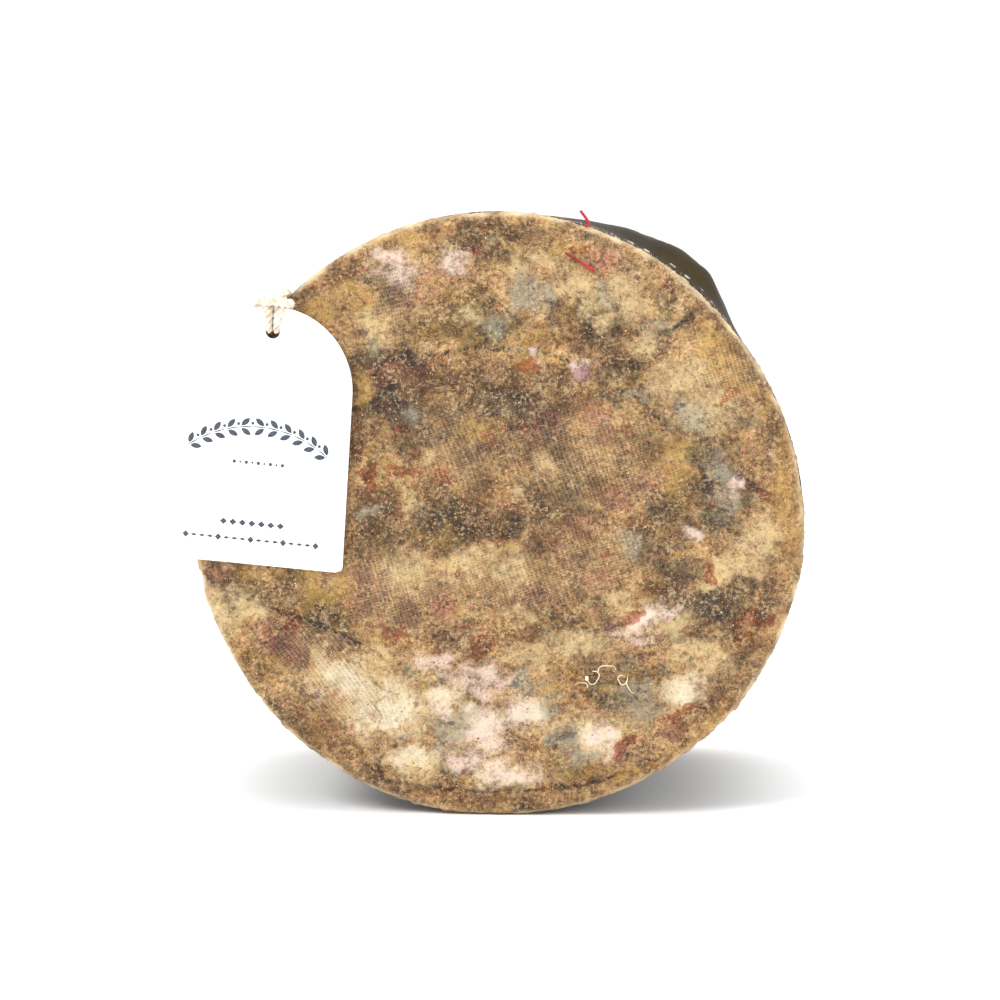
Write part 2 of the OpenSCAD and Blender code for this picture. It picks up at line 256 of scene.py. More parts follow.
# What grows on a face, in millimetres from its middle: right, up, half width, half
# height and turn. The first two are broad darker stretches and paler ones; the pale ones
# lie low on the front face and are painted light from the bright floor below. Then
# come the moulds, one kind after the other, and last where the muslin's mesh shows best.
MOULDS = {
    "dark": [(0, 70, 15, 6), (-26, 60, 7, 5), (-6, 50, 10, 7), (28, 49, 8, 9), (31, 36, 9, 7),
             (-32, 30, 9, 13), (-14, 36, 9, 6), (58, 26, 7, 8), (57, 9, 8, 10), (-9, -1, 18, 8),
             (18, 6, 12, 8), (43, -6, 7, 12), (58, -22, 8, 8), (52, -27, 11, 7), (15, -27, 10, 8),
             (-49, -22, 13, 6, -15), (-67, -20, 6, 8), (30, -44, 9, 5), (-25, 20, 10, 8),
             (-32, -2, 9, 10), (2, 26, 20, 13)],
    "pale": [(-38, -43, 9, 5, -30), (-28, -50, 8, 6), (-22, -62, 6, 3), (-5, -55, 7, 5), (2, -66, 8, 2.5),
             (27, -57, 6, 4), (48, -44, 6, 4, 40), (-14, -46, 5, 3), (37, -27, 4, 2, 28),
             (10, -50, 5, 3)],
    "ochre": [(-44, 53, 4, 3), (-38, 58, 4, 2.5), (-31, 54, 2, 4), (-22, 71, 4, 2), (-30, 71, 6, 1.5, 20),
              (-34, 32, 2, 5), (53, 45, 3, 4), (56, 40, 3.5, 5, 40), (61, 34, 3.5, 4, 35), (59, 31, 4, 1.5),
              (7, 40, 3, 3), (1, 70, 2, 1.2), (47, 17, 4, 4), (45, 11, 5, 4), (-15, 33, 2, 1.2),
              (-9, 37, 1.5, 2), (46, -8, 2.5, 1.8), (15, -45.5, 2.6, 2.8), (-47, -17, 3, 6, 20),
              (-42, -19, 3, 4), (-30, -32, 4, 2), (-18, -46, 2, 3), (73, 10, 2.5, 12), (75, -5, 2, 8),
              (36, -65, 9, 1.2, 28), (55, -54, 8, 1.2, 45), (12, 76, 9, 1), (2, -7, 4, 2),
              (-45, 63, 6, 1, 35), (17, -66, 3, 2.5), (-5, 22, 4, 3), (18, 68, 4, 3), (-10, -68, 2, 1.5)],
    "mauve": [(-20, 59, 3, 3), (12, 25, 6, 3, 20), (14, 20, 3, 3), (25, 26, 4, 4), (-36, -23, 3, 3),
              (-14, -22, 4, 4), (15, -7, 4, 2), (-31.5, -50, 1.5, 2.2), (32, -60, 3, 2), (20, -2, 4, 3),
              (38, 10, 3, 3), (2, 4, 3, 2), (-33, -17, 5, 4), (-43, -47, 3, 2), (27, 66, 3, 2),
              (24, -16, 4, 3), (-12, 63, 3, 2), (10, -20, 4, 2), (44, -18, 5, 3), (26, -52, 2, 3),
              (-24, 24, 4, 2), (65, 18, 4, 2), (-56, -32, 7, 5), (30, 5, 5, 3)],
    "crust": [(-5, 75, 9, 2), (2, 73, 6, 3), (-40, 62, 4, 3), (-49, 57, 4, 3), (-10, 36, 9, 5),
              (-17, 41, 4, 1.2), (-38, 18, 3, 6), (-33, 12.5, 3, 2.4), (-14, 26, 3, 2.6), (-6, 6, 6, 5),
              (-30, 3, 6, 6), (22, 48, 6, 4.5), (31, 48, 2, 2.4), (34, 43, 6, 4), (62, 45, 4, 5),
              (5, 32, 5, 2.6), (16, 35, 3, 3), (38, 17, 4, 4),
              (71, 26, 2.5, 5), (-12, -3.5, 11, 4), (-31, -4, 7, 4.5), (-38, -4, 2, 5), (-27, -8, 3, 1.5),
              (-12, -8, 4, 1.6), (3, -3, 4, 3), (10, -6, 6, 3), (22, -4, 3, 2.2), (5, -22, 4, 4),
              (6, -30, 6, 3), (31.5, -15.5, 2, 2), (36, -5, 2.5, 8), (42, -16, 5, 3), (-59, -47, 4, 2, -42),
              (-46, -54, 8, 3.4, -38), (-38, -60, 5, 4, -35), (-32, -65, 4, 2.6, -30),
              (-28, -58, 5, 1.2, 45), (-23, -56, 3, 1.2, -20), (-20, -70, 12, 1.6), (-5, -73, 9, 2),
              (10, -73, 5, 2), (20, 30, 4, 3), (62, -27, 4, 3), (69, -24, 3, 3), (63, -34, 4, 4),
              (60, -44, 4, 5), (55, 51, 5, 2, -45), (-4, 57, 3, 3), (44, -24, 3, 1), (7, -58.5, 4, 1.2),
              (-13, -31, 3, 2), (-25, -34, 3, 1.8), (-18, 8, 4, 3), (27, 9, 5, 3), (16, 18, 3, 3),
              (-20, 33, 3, 8), (55, -48, 6, 3, 45), (-65, -42, 4, 2, -50)],
    "olive": [(-12, 48, 9, 4), (-2, 46, 6, 2.6), (10, 46, 6, 3.6), (46, 8, 4, 5), (47, 2, 3, 3),
              (-45, -22.5, 7, 3.2), (-39, -26, 4, 4), (-31, -32.5, 1.9, 1.8), (-66, -15, 5, 2.6),
              (-53, -15, 6, 2.6), (-9, 55, 5, 3), (-7, -46, 4, 3), (12, -60, 4, 3), (20, 52, 4, 2),
              (-23, 19.5, 3, 1.8), (35, 36, 3, 4), (-58, -37, 4, 3), (42, 19, 3, 3), (-62, -36, 3, 5),
              (22, -65, 6, 2), (40, -20, 3, 3), (-18, 49, 4, 3), (38, -41, 5, 2)],
    "cream": [(5, 65, 4, 4), (19, 60, 5, 4), (24, 56, 5, 4), (33, 57, 4, 7, 20), (49, 35, 8, 5),
              (53, 28, 8, 6), (-31, 48, 3, 5), (-17, 15, 1.5, 1.5), (-21, 4, 2, 4), (6, 6, 2, 2),
              (13, 13, 3, 2), (37, 45, 3, 3), (-24, -13, 7, 5), (-9, -12, 6, 4), (-4, -9, 5, 2),
              (-71, -24, 5, 7), (-46, -36, 4, 3), (-31, -44, 11, 7), (-41, -42, 8, 3), (-23, -50, 8, 6),
              (-21, -63, 8, 4.5), (3, -13, 5, 4), (8, -35, 6, 3), (20, -32, 8, 3), (67, -6, 6, 6),
              (60, -12, 5, 3), (54, -17, 3, 2), (51, -33, 8, 4), (45, -27, 5, 3), (57, -37, 4, 3),
              (23, -54, 4, 4), (-62, -24, 4, 3), (29, 50, 3, 3), (-30, -34, 3, 3), (6, -24, 3, 2),
              (30, -21, 5, 3), (-6, 52, 4, 2), (44, 51, 4, 1.4, 45), (12, 66, 3, 2)],
    "pink": [(-25, 62, 4, 4), (-27, 66, 5, 2.5), (-11, 65.5, 3.5, 3), (-16, -37, 5, 3), (-4, -42, 7, 4),
             (-3, -55, 6, 5), (37, -27, 6, 3.2, 28), (43, -23.5, 4, 1.5), (5, -50, 5, 4), (3, -66, 6, 3),
             (28, -56, 2, 3), (-14, -50, 3, 2), (9, 42, 2, 1.5), (-8, -63, 4, 3), (61, 8.5, 2.6, 1.6),
             (50, -4, 2.4, 1.2), (22, 39, 3, 2)],
    "grey": [(7, 57, 5, 5), (13, 58, 2.5, 3.5), (27, 57, 2.5, 4), (40, 49, 3.5, 3), (-22, 27, 2.5, 2.5),
             (57, 12, 4, 4), (58, 5, 5, 4), (8, -43, 5, 3), (37, -45, 5, 3), (36, -50, 6, 3),
             (17, -57, 4, 5), (21, -62, 5, 2.5), (-10, -54, 4, 5), (-15, -56, 2, 5), (0, 49, 3, 3),
             (34, -6, 3, 3), (-33, 1, 2, 2), (14, -49, 4, 4), (48, 27, 5, 3, -40), (35, 31, 3, 1.5)],
    "slate": [(42.3, 53.4, 4.2, 0.8, 50), (45.6, 49.2, 4.8, 1.1, 40), (51, 18.5, 3, 3.4), (53, 15, 3, 2.6),
              (41, 26.5, 5, 0.9, -45), (15, 52, 2.4, 3), (3, 48.5, 3.6, 2.4), (56, -1, 4.4, 3.6),
              (48, -14, 4, 3.4), (46, -19, 4, 3), (53, -22.5, 5, 3.6, -25), (58, -24, 3, 3),
              (65, -16, 3.4, 1.6), (43, -12, 4, 1.8), (26.5, -37, 3, 1.5), (34, -37.6, 5, 2, -8),
              (41, -39, 4, 1.8), (24, -43, 3, 2), (30, -42, 3.4, 1.6), (42.5, -42, 1.8, 1.1),
              (30, -46.5, 5, 3), (-31, 42.5, 3.2, 2.4), (-24, 43, 1, 6), (24.5, 73, 2, 1.2),
              (-12, -66, 3.6, 2.2), (53, 7, 2, 3), (17, -56, 2, 2), (30, 31, 4, 1.6),
              (-58, -48.5, 3, 1.2, -42), (64, 24, 4, 2), (10, -42, 2, 1.2), (-22, -40, 3, 1.2),
              (4, -43, 2, 1)],
    "plum": [(-26, 58, 2.2, 3), (-23, 55, 3.6, 1.4), (-34, 47.5, 2.2, 1.6), (-27, 36, 6, 6),
             (-21, 36, 5, 5), (-27, 30, 5, 2), (-6, 17, 4, 3), (22, 38, 2, 2), (28, 22, 3, 3),
             (54, 8, 2.2, 1.5),
             (-22.5, -24, 3, 4.6), (-33, -15, 3.5, 2.6), (-27, -14, 1.3, 1), (-54, -33, 6, 4),
             (-53, -37, 2, 2), (-40, -32, 3, 2), (-49.5, -45.5, 1.8, 1.3), (-46, -44.8, 1.6, 1),
             (-43, -48.5, 1.3, 1), (21, -11, 1.8, 1.5), (16, -11, 1.5, 1), (38, -35, 2.3, 1.8),
             (47, -53.8, 3.6, 2, 30), (43, -56, 2.6, 1.3, 10), (34, -57.5, 2.4, 1.1, 30),
             (42, -30, 2.6, 1, 40), (66.5, 9.5, 3, 2.2), (31, -28, 2, 1.2), (-13, 20.5, 2, 1),
             (-72, -15, 4, 3, -25)],
    "rust": [(-13.5, 10.5, 3.5, 2.1, -10), (-21, 17, 1.5, 1.6), (-24, 12, 3, 1.6), (-1, 20, 3, 3),
             (-2, 27, 2, 1.3), (-33, 12, 2.5, 1.6), (33, 17, 1.5, 1), (20, 68, 2, 1),
             (-52, -26.5, 2.4, 2.6, 50), (24, -4, 1.5, 1), (28, -9, 1.3, 1), (-9, -14.5, 1.3, 0.9),
             (-4.5, -32, 3.2, 3.5), (34, -25, 3, 3), (49, -29, 1.8, 1.5), (54, -14, 2.2, 2),
             (34, -58, 4.2, 2, 25), (67, -25, 4, 3), (62.5, -28, 2.2, 2), (50, -48, 3, 0.8),
             (24, 31, 1.4, 1), (8, 39, 2.5, 2.5), (5, 24, 4, 2), (-26, -30, 3, 2),
             (-32, 9, 2, 2), (-6, 68, 3, 1.2), (68, 6, 3, 3), (-24, 22, 3, 1.4), (33, 23, 2, 2),
             (60, 32, 3, 1.5), (46, -51, 4, 1.5, 20)],
    "black": [(61.6, 10.6, 1.2, 0.9), (65.3, 9, 1.4, 1), (69, 5, 1.1, 1), (-33.2, 60, 0.9, 0.7),
              (-36.5, 63, 0.7, 1.6), (28.5, 36.3, 1.2, 1), (31.2, 32.8, 1.6, 1), (24.6, -44.6, 0.9, 0.8),
              (25, -67, 1.2, 0.6), (62, -18, 1.4, 0.7), (56, -9, 0.9, 0.6), (-4.3, 25, 0.8, 0.9),
              (35.6, 61.4, 0.8, 0.7), (21, 55, 0.8, 1), (18, 56, 0.7, 0.6), (53, -48.5, 0.8, 0.6),
              (36.5, -44, 0.6, 0.7), (38.5, -46.5, 0.6, 0.6), (33.5, -50, 0.8, 0.6), (20, -45.5, 0.6, 0.9),
              (14.5, -25, 1.2, 1.4), (20, -26.5, 2, 0.6, -20), (-11.5, -53, 1, 0.7), (-20.5, -48, 1, 0.8),
              (50.5, 15, 1.4, 1), (-30, -66, 0.9, 0.7), (-8, 42, 1.2, 0.6), (6, 31, 1, 0.8),
              (33.3, -11.5, 0.7, 0.5), (46, -7.5, 0.6, 1.2)],
    "mesh_seen": [(26, 16, 20, 13), (-27, -18, 12, 10), (-46, -36, 12, 7), (-25, 58, 7, 9), (60, 38, 7, 9),
                  (6, -16, 14, 8), (-38, -45, 12, 7), (-10, 20, 14, 10), (24, -10, 14, 8)],
}

# Edges where one layer of cloth ends on another, each a path with the upper layer on its
# left and the height of the step, and creases, each a path, a width and a height; all
# in millimetres.
LAPS = [([(-77, -14), (-70, -18.6), (-60, -22.6), (-50, -25.6), (-43, -28.4), (-36, -32)], 0.5),
        ([(36, 31), (41, 26), (46, 21), (50, 17), (53, 11), (53, 3)], 0.45),
        ([(-20, -54), (-25, -58), (-31, -63), (-29, -68), (-20, -69), (-8, -70.5), (8, -70), (22, -69),
          (34, -65)], 0.4),
        ([(-34, 34), (-28, 41), (-18, 41.5), (-8, 43.5), (4, 43.5), (14, 42), (20, 40)], 0.3)]
CREASES = [([(39.5, 50), (45, 56)], 0.7, -0.4), ([(41.5, 47), (49, 51.5)], 1.1, -0.45),
           ([(50, -4), (57, -2), (66, 0)], 0.5, 0.35), ([(-7, -51), (-4, -53)], 0.5, -0.3),
           ([(-19, -43), (-12, -42)], 0.5, -0.3), ([(12, -57), (20, -61)], 0.5, -0.25),
           ([(25, -41), (33, -41), (42, -42)], 0.6, 0.35), ([(-46, -13), (-45, -19), (-42, -25)], 0.6, 0.3),
           ([(-31, -34), (-27, -37), (-24, -40)], 0.6, 0.3), ([(14, 45), (17, 48), (19, 50)], 0.7, 0.4),
           ([(45, -16), (53, -21), (60, -21)], 1.2, 0.4),
           ([(-30, -12), (-25, -10), (-24, -5), (-26, 1)], 0.8, 0.3),
           ([(33, 35), (37, 31), (41, 25)], 0.8, 0.3), ([(-35, -39), (-31, -33)], 0.5, 0.25),
           ([(-40, 27), (-33, 29), (-25, 35)], 0.7, -0.3), ([(48, -4), (45, -9)], 0.5, 0.3),
           ([(20, 38), (27, 40), (30, 36)], 0.7, 0.25)]


def turned(rows, degrees):
    """The same marks turned about the middle of a face, for the face that is hidden."""
    c, s = math.cos(math.radians(degrees)), math.sin(math.radians(degrees))
    made = []
    for x, z, wide, high, *turn in rows:
        made.append((x * c - z * s, x * s + z * c, wide, high, (turn[0] if turn else 0) + degrees))
    return made


def turned_path(path, degrees):
    """A path turned about the middle of a face."""
    c, s = math.cos(math.radians(degrees)), math.sin(math.radians(degrees))
    return [(x * c - z * s, x * s + z * c) for x, z in path]


def put_values(mesh, name, values):
    """A named float for each vertex, or a named colour where there are three or four."""
    if values.ndim == 1:
        layer = mesh.attributes.new(name, "FLOAT", "POINT")
        layer.data.foreach_set("value", values.astype(np.float32))
    else:
        full = np.ones((len(values), 4), np.float32)
        full[:, :values.shape[1]] = values
        layer = mesh.attributes.new(name, "FLOAT_COLOR", "POINT")
        layer.data.foreach_set("color", full.ravel())


def vertex_places(mesh):
    """The places of a mesh's vertices as an array."""
    flat = np.empty(len(mesh.vertices) * 3, np.float32)
    mesh.vertices.foreach_get("co", flat)
    return flat.reshape(-1, 3).astype(float)


def set_places(mesh, places):
    """Moves a mesh's vertices to the places in an array."""
    mesh.vertices.foreach_set("co", places.astype(np.float32).ravel())
    mesh.update()


def draw_out(rings, step):
    """Extrudes what is selected along Z, ring by ring."""
    for ring in range(rings):
        bpy.ops.mesh.extrude_region_move(TRANSFORM_OT_translate={"value": (0, 0, step)})


def face_outwards():
    """Turns every face of the active piece outwards."""
    bpy.ops.object.mode_set(mode="EDIT")
    bpy.ops.mesh.select_all(action="SELECT")
    bpy.ops.mesh.normals_make_consistent(inside=False)
    bpy.ops.object.mode_set(mode="OBJECT")


def put_cloth(piece, cloth, seed, grown, weave_turn, lap_shade, worn):
    """What the muslin's finish needs to know at each vertex: the place on the cloth in
    metres, a share from 0 to 1 of each mould, the weave's direction, the painted shade
    along laps and creases, and the rim's wear with its painted highlight."""
    put_values(piece.data, "cloth", np.column_stack([cloth * MM, np.full(len(cloth), seed * 0.01)]))
    for kind, share in grown.items():
        put_values(piece.data, "mould_" + kind, share)
    put_values(piece.data, "weave_turn", weave_turn)
    put_values(piece.data, "lap_line", lap_shade)
    put_values(piece.data, "rim_wear", worn)


def cloth_end(name, facing, turn, seed):
    """One end of the cheese under its cap of cloth: a disc of fine cells whose border
    is drawn back over the rim. facing is -1 for the front and 1 for the back."""
    bpy.ops.object.select_all(action="DESELECT")
    bpy.ops.mesh.primitive_grid_add(x_subdivisions=CELLS, y_subdivisions=CELLS, size=2)
    piece = bpy.context.object
    piece.name = name
    bpy.ops.object.mode_set(mode="EDIT")
    bpy.ops.mesh.select_mode(type="EDGE")
    bpy.ops.mesh.select_all(action="SELECT")
    bpy.ops.mesh.region_to_loop()
    draw_out(RIM_RINGS + SIDE_RINGS, -1)
    bpy.ops.mesh.edge_face_add()
    bpy.ops.object.mode_set(mode="OBJECT")

    start = vertex_places(piece.data)
    ring = np.rint(-start[:, 2])
    # The square of cells becomes a disc: each square ring is drawn out to a circle
    across, up = start[:, 0], start[:, 1]
    reach = np.maximum(np.abs(across), np.abs(up))
    angle = np.arctan2(up, across)
    eighth = np.mod(angle + math.pi / 4, math.pi / 2) - math.pi / 4
    angle = angle + (math.pi / 4) * np.tan(eighth) - eighth
    # The back is seen the other way round, so its outline is the front's, mirrored
    shape_angle = angle if facing < 0 else math.pi - angle

    rolled = np.clip(ring / RIM_RINGS, 0, 1) * math.pi / 2
    down = np.clip((ring - RIM_RINGS) / SIDE_RINGS, 0, 1) * (CAP_DEPTH - RIM_R)
    flat_r = outline(shape_angle) - RIM_R
    radius = np.where(ring > 0, flat_r + RIM_R * np.sin(rolled), flat_r * reach)
    inward = RIM_R * (1 - np.cos(rolled)) + down
    depth = BACK_Y - inward
    radius = radius + np.where(ring > RIM_RINGS, swell(depth), 0)
    # Cloth lies on the cheese, so its own plan is measured along the surface
    along = np.where(ring > 0, flat_r + RIM_R * rolled + down, radius)
    cloth = np.stack([along * np.cos(angle), along * np.sin(angle)], axis=1) / MM

    bends = np.stack([waves(cloth, 9, seed + 1), waves(cloth, 9, seed + 2)], axis=1)
    frets = np.stack([waves(cloth, 2.6, seed + 3), waves(cloth, 2.6, seed + 4)], axis=1)
    blurred = cloth + 1.3 * bends + 0.55 * frets
    edge = (along - outline(shape_angle)) / MM
    grown = {kind: spots(blurred, turned(rows, turn)) for kind, rows in MOULDS.items()}
    grown["black"] = spots(cloth + 0.25 * frets, turned(MOULDS["black"], turn))
    rim_band = ease((edge + 6 + 2.5 * bends[:, 0]) / 4) * (0.75 + 0.35 * bends[:, 1])
    crust = np.maximum(0.95 * grown["crust"], 0.5 * rim_band)
    grown["crust"] = crust

    # Height of the cloth: slow hills, lumps of crust, laps, creases and pits
    height = 0.22 * waves(cloth, 26, seed + 5) + 0.1 * waves(cloth, 8, seed + 6)
    height += (0.05 + 0.07 * crust) * waves(cloth, 2.6, seed + 7)
    height += (0.03 + 0.05 * crust) * waves(cloth, 1.5, seed + 8)
    # Along each lap's edge and in each sunk crease a painted shade is kept, darkest on the lower layer
    # under the step.
    lap_shade = np.zeros(len(cloth))
    for path, step in LAPS:
        far, side = path_distance(cloth + 0.25 * frets, turned_path(path, turn))
        raised = np.clip(1 - far / LAP_FADE, 0, 1) ** 2
        height += LAP_LIFT * step * raised * (ease(0.5 + side * far / LAP_EDGE) - 0.5)
        lap_shade = np.maximum(lap_shade, (1 - ease(far / 0.9)) * np.where(side > 0, 0.3, 1))
    for path, wide, deep in CREASES:
        far, side = path_distance(cloth + 0.35 * frets, turned_path(path, turn))
        height += deep * np.exp(-(far / wide) ** 2)
        lap_shade = np.maximum(lap_shade, (1 - ease(far / (1.3 * wide))) * (0.9 if deep < 0 else 0))
    height += 0.25 * np.maximum(grown["rust"] - 0.55, 0) - 0.22 * grown["black"]
    ruffle = ease((edge + 3) / 3)
    round_rim = np.stack([np.cos(angle) * CHEESE_R, np.sin(angle) * CHEESE_R, inward], axis=1) / MM
    height += ruffle * (0.16 * waves(round_rim, 3.5, seed + 9) + 0.07 * waves(round_rim, 1.4, seed + 10))
    height *= np.where(ring > RIM_RINGS + 1, 0.3, 1)
    # The cloth is thickest where it is gathered over the rim
    height += 0.45 * ease((edge + 2.5) / 2) * np.where(ring > RIM_RINGS + 1, 0.4, 1) - 0.18

    out_r = radius + height * MM * np.sin(rolled)
    z = AXIS_Z + out_r * np.sin(angle)
    y = facing * (depth + height * MM * np.cos(rolled))
    x = -facing * out_r * np.cos(angle)
    z = np.maximum(z, FOOT_Z + 0.0001 + 0.00012 * (waves(cloth, 3, seed + 11) > 0))
    set_places(piece.data, np.stack([x, y, z], axis=1))
    face_outwards()
    bpy.ops.object.shade_smooth()

    # The muslin's own direction, in degrees, changes from one layer to the next
    far, side = path_distance(cloth, turned_path(LAPS[0][0], turn))
    leftward = (cloth + 4 * bends) @ np.array([math.cos(math.radians(turn)), math.sin(math.radians(turn))])
    lower_layer = (side < 0) & (far < LOWER_LAYER_WIDE) & (leftward < LOWER_LAYER_EDGE)
    weave_turn = np.where(lower_layer, LOWER_WEAVE, MAIN_WEAVE)
    patched = spot(cloth, *turned([(-27, 58, 17, 15)], turn)[0])
    weave_turn = np.where(patched > 0.4, PATCH_WEAVE, weave_turn)
    # Toward the rim the cloth is worn and fuzzy, and the same band carries a painted highlight on the
    # rounded rim.
    worn = ease((edge + 1.3) / 1.2) * (0.55 + 0.45 * bends[:, 1])
    put_cloth(piece, cloth, seed, grown, np.radians(weave_turn + turn), lap_shade, worn)
    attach(piece, "root")
    return piece


front_end = cloth_end("cloth_end_front", -1, 0, 11)
back_end = cloth_end("cloth_end_back", 1, 150, 47)
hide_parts("truckle")

# ---- Muslin and mould, as a finish ---------------------------------------------------
# The finish of all the cloth: a coarse, open muslin, stiff with rind, that is stained and
# covered by the moulds. Its threads and meshes show where it is bare, the threads with a
# painted highlight and the holes with a painted shade. Painted shade also lies along laps
# and creases, painted light from the floor on the pale stretches, and a painted highlight
# on the worn rim.
WARP_PITCH = 0.00105
WEFT_PITCH = 0.00067
WANDER = 0.0002
SLOW_WANDER = 0.0035


def new_group(name, inputs, outputs):
    """An empty shader node group with named inputs and outputs."""
    group = bpy.data.node_groups.new(name, "ShaderNodeTree")
    for label, kind, value in inputs:
        made = group.interface.new_socket(label, in_out="INPUT", socket_type="NodeSocket" + kind)
        if value is not None:
            made.default_value = value
    for label, kind in outputs:
        group.interface.new_socket(label, in_out="OUTPUT", socket_type="NodeSocket" + kind)
    return group, group.nodes.new("NodeGroupInput").outputs, group.nodes.new("NodeGroupOutput").inputs


def use_group(tree, group, inputs):
    """The outputs of a group placed in a material."""
    placed = tree.nodes.new("ShaderNodeGroup")
    placed.node_tree = group
    for label, value in inputs.items():
        if isinstance(value, bpy.types.NodeSocket):
            tree.links.new(value, placed.inputs[label])
        else:
            placed.inputs[label].default_value = value
    return placed.outputs


def maths(tree, work, a, b=0.5, clamp=False):
    """One sum on two values."""
    return add_node(tree, "ShaderNodeMath", {0: a, 1: b}, operation=work, use_clamp=clamp).outputs[0]


def times(tree, product, *factors):
    """The product of several values."""
    for factor in factors:
        product = maths(tree, "MULTIPLY", product, factor)
    return product


def away(tree, value, middle):
    """How far a value lies from another one."""
    return maths(tree, "ABSOLUTE", maths(tree, "SUBTRACT", value, middle))


def noise(tree, place, size, detail=2, rough=0.5):
    """Noise with features of about one size, in metres."""
    made = add_node(tree, "ShaderNodeTexNoise", {"Vector": place, "Scale": 1 / size, "Detail": detail,
                                                 "Roughness": rough})
    return made.outputs["Fac"]


def fit(tree, value, low, high, to_low=0.0, to_high=1.0):
    """A value brought smoothly from one range to another."""
    return add_node(tree, "ShaderNodeMapRange", {"Value": value, "From Min": low, "From Max": high,
                                                 "To Min": to_low, "To Max": to_high},
                    interpolation_type="SMOOTHSTEP").outputs["Result"]


def paint(tree, share, under, over, way="MIX"):
    """One colour laid over another."""
    made = add_node(tree, "ShaderNodeMix", {0: share, 6: under, 7: over}, data_type="RGBA", blend_type=way)
    return made.outputs[2]


def graded(tree, value, steps):
    """A value from 0 to 1 turned into a colour, by steps of place and colour."""
    shades = add_node(tree, "ShaderNodeValToRGB", {0: value})
    ramp = shades.color_ramp
    while len(ramp.elements) < len(steps):
        ramp.elements.new(0.5)
    for element, (at, shade) in zip(ramp.elements, steps):
        element.position = at
        element.color = shade
    return shades.outputs["Color"]


# Open plain weave: two sets of threads, and the small holes between them
muslin, given, handed = new_group(
    "muslin_weave",
    [("Place", "Vector", None), ("Turn", "Float", 0), ("Warp Pitch", "Float", WARP_PITCH),
     ("Weft Pitch", "Float", WEFT_PITCH), ("Wander", "Float", WANDER)],
    [("Height", "Float"), ("Holes", "Float"), ("Thread", "Float")])
strays = []
for per_metre, detail, reach in ((260.0, 1.0, given["Wander"]), (45.0, 0.0, SLOW_WANDER)):
    drift = add_node(muslin, "ShaderNodeTexNoise", {"Vector": given["Place"], "Scale": per_metre,
                                                    "Detail": detail})
    centred = add_node(muslin, "ShaderNodeVectorMath", {0: drift.outputs["Color"], 1: (0.5, 0.5, 0.5)},
                       operation="SUBTRACT")
    moved = add_node(muslin, "ShaderNodeVectorMath", {0: centred.outputs[0], "Scale": reach},
                     operation="SCALE")
    strays.append(moved.outputs[0])
both = add_node(muslin, "ShaderNodeVectorMath", {0: strays[0], 1: strays[1]})
wandered = add_node(muslin, "ShaderNodeVectorMath", {0: given["Place"], 1: both.outputs[0]})
laid = add_node(muslin, "ShaderNodeVectorRotate", {"Vector": wandered.outputs[0], "Angle": given["Turn"]},
                rotation_type="Z_AXIS", invert=True)
apart = add_node(muslin, "ShaderNodeSeparateXYZ", {0: laid.outputs[0]})
crossings = []
for axis, pitch in (("X", "Warp Pitch"), ("Y", "Weft Pitch")):
    turns = maths(muslin, "DIVIDE", apart.outputs[axis], given[pitch])
    half_turns = maths(muslin, "MULTIPLY", turns, math.pi)
    crossings.append(maths(muslin, "ABSOLUTE", maths(muslin, "SINE", half_turns)))
between = maths(muslin, "MULTIPLY", crossings[0], crossings[1])
patchy = noise(muslin, given["Place"], 0.0016, 1)
threshold = fit(muslin, patchy, 0.35, 0.7, 0.5, 0.82)
over_line = maths(muslin, "SUBTRACT", between, threshold)
holes = fit(muslin, over_line, -0.08, 0.22)
thread = maths(muslin, "SUBTRACT", 1.0, maths(muslin, "MINIMUM", crossings[0], crossings[1]))
height = maths(muslin, "SUBTRACT", thread, maths(muslin, "MULTIPLY", holes, 1.2))
muslin.links.new(height, handed["Height"])
muslin.links.new(holes, handed["Holes"])
muslin.links.new(thread, handed["Thread"])

# A patch of mould: its border is eaten into by noise at every scale, and its middle
# is thick and thin by turns
eaten, given, handed = new_group(
    "eaten_patch",
    [("Patch", "Float", 0), ("Place", "Vector", None), ("Grain", "Float", 900), ("Bite", "Float", 2),
     ("Low", "Float", 0.2), ("High", "Float", 0.8)],
    [("Mask", "Float")])
broken = add_node(eaten, "ShaderNodeTexNoise", {"Vector": given["Place"], "Scale": given["Grain"],
                                                "Detail": 6.0, "Roughness": 0.78})
bitten = maths(eaten, "MULTIPLY", maths(eaten, "SUBTRACT", broken.outputs["Fac"], 0.5), given["Bite"])
near = maths(eaten, "MULTIPLY", given["Patch"], 3.5, clamp=True)
total = maths(eaten, "ADD", given["Patch"], maths(eaten, "MULTIPLY", bitten, near))
mask = add_node(eaten, "ShaderNodeMapRange", {"Value": total, "From Min": given["Low"],
                                              "From Max": given["High"]}, interpolation_type="SMOOTHSTEP")
eaten.links.new(mask.outputs["Result"], handed["Mask"])

cloth_finish, tree, output = new_material("mouldy_muslin")


def told(name):
    """A value that the mesh carries, in the muslin's finish."""
    return add_node(tree, "ShaderNodeAttribute", attribute_name=name).outputs["Fac"]


def patch(kind, size, bite, low=0.15, high=0.85):
    """Where one kind of mould grows, with its eaten border, in the muslin's finish."""
    return use_group(tree, eaten, {"Patch": told("mould_" + kind), "Place": place, "Grain": 1 / size,
                                   "Bite": bite, "Low": low, "High": high})["Mask"]


place = add_node(tree, "ShaderNodeAttribute", attribute_name="cloth").outputs["Vector"]

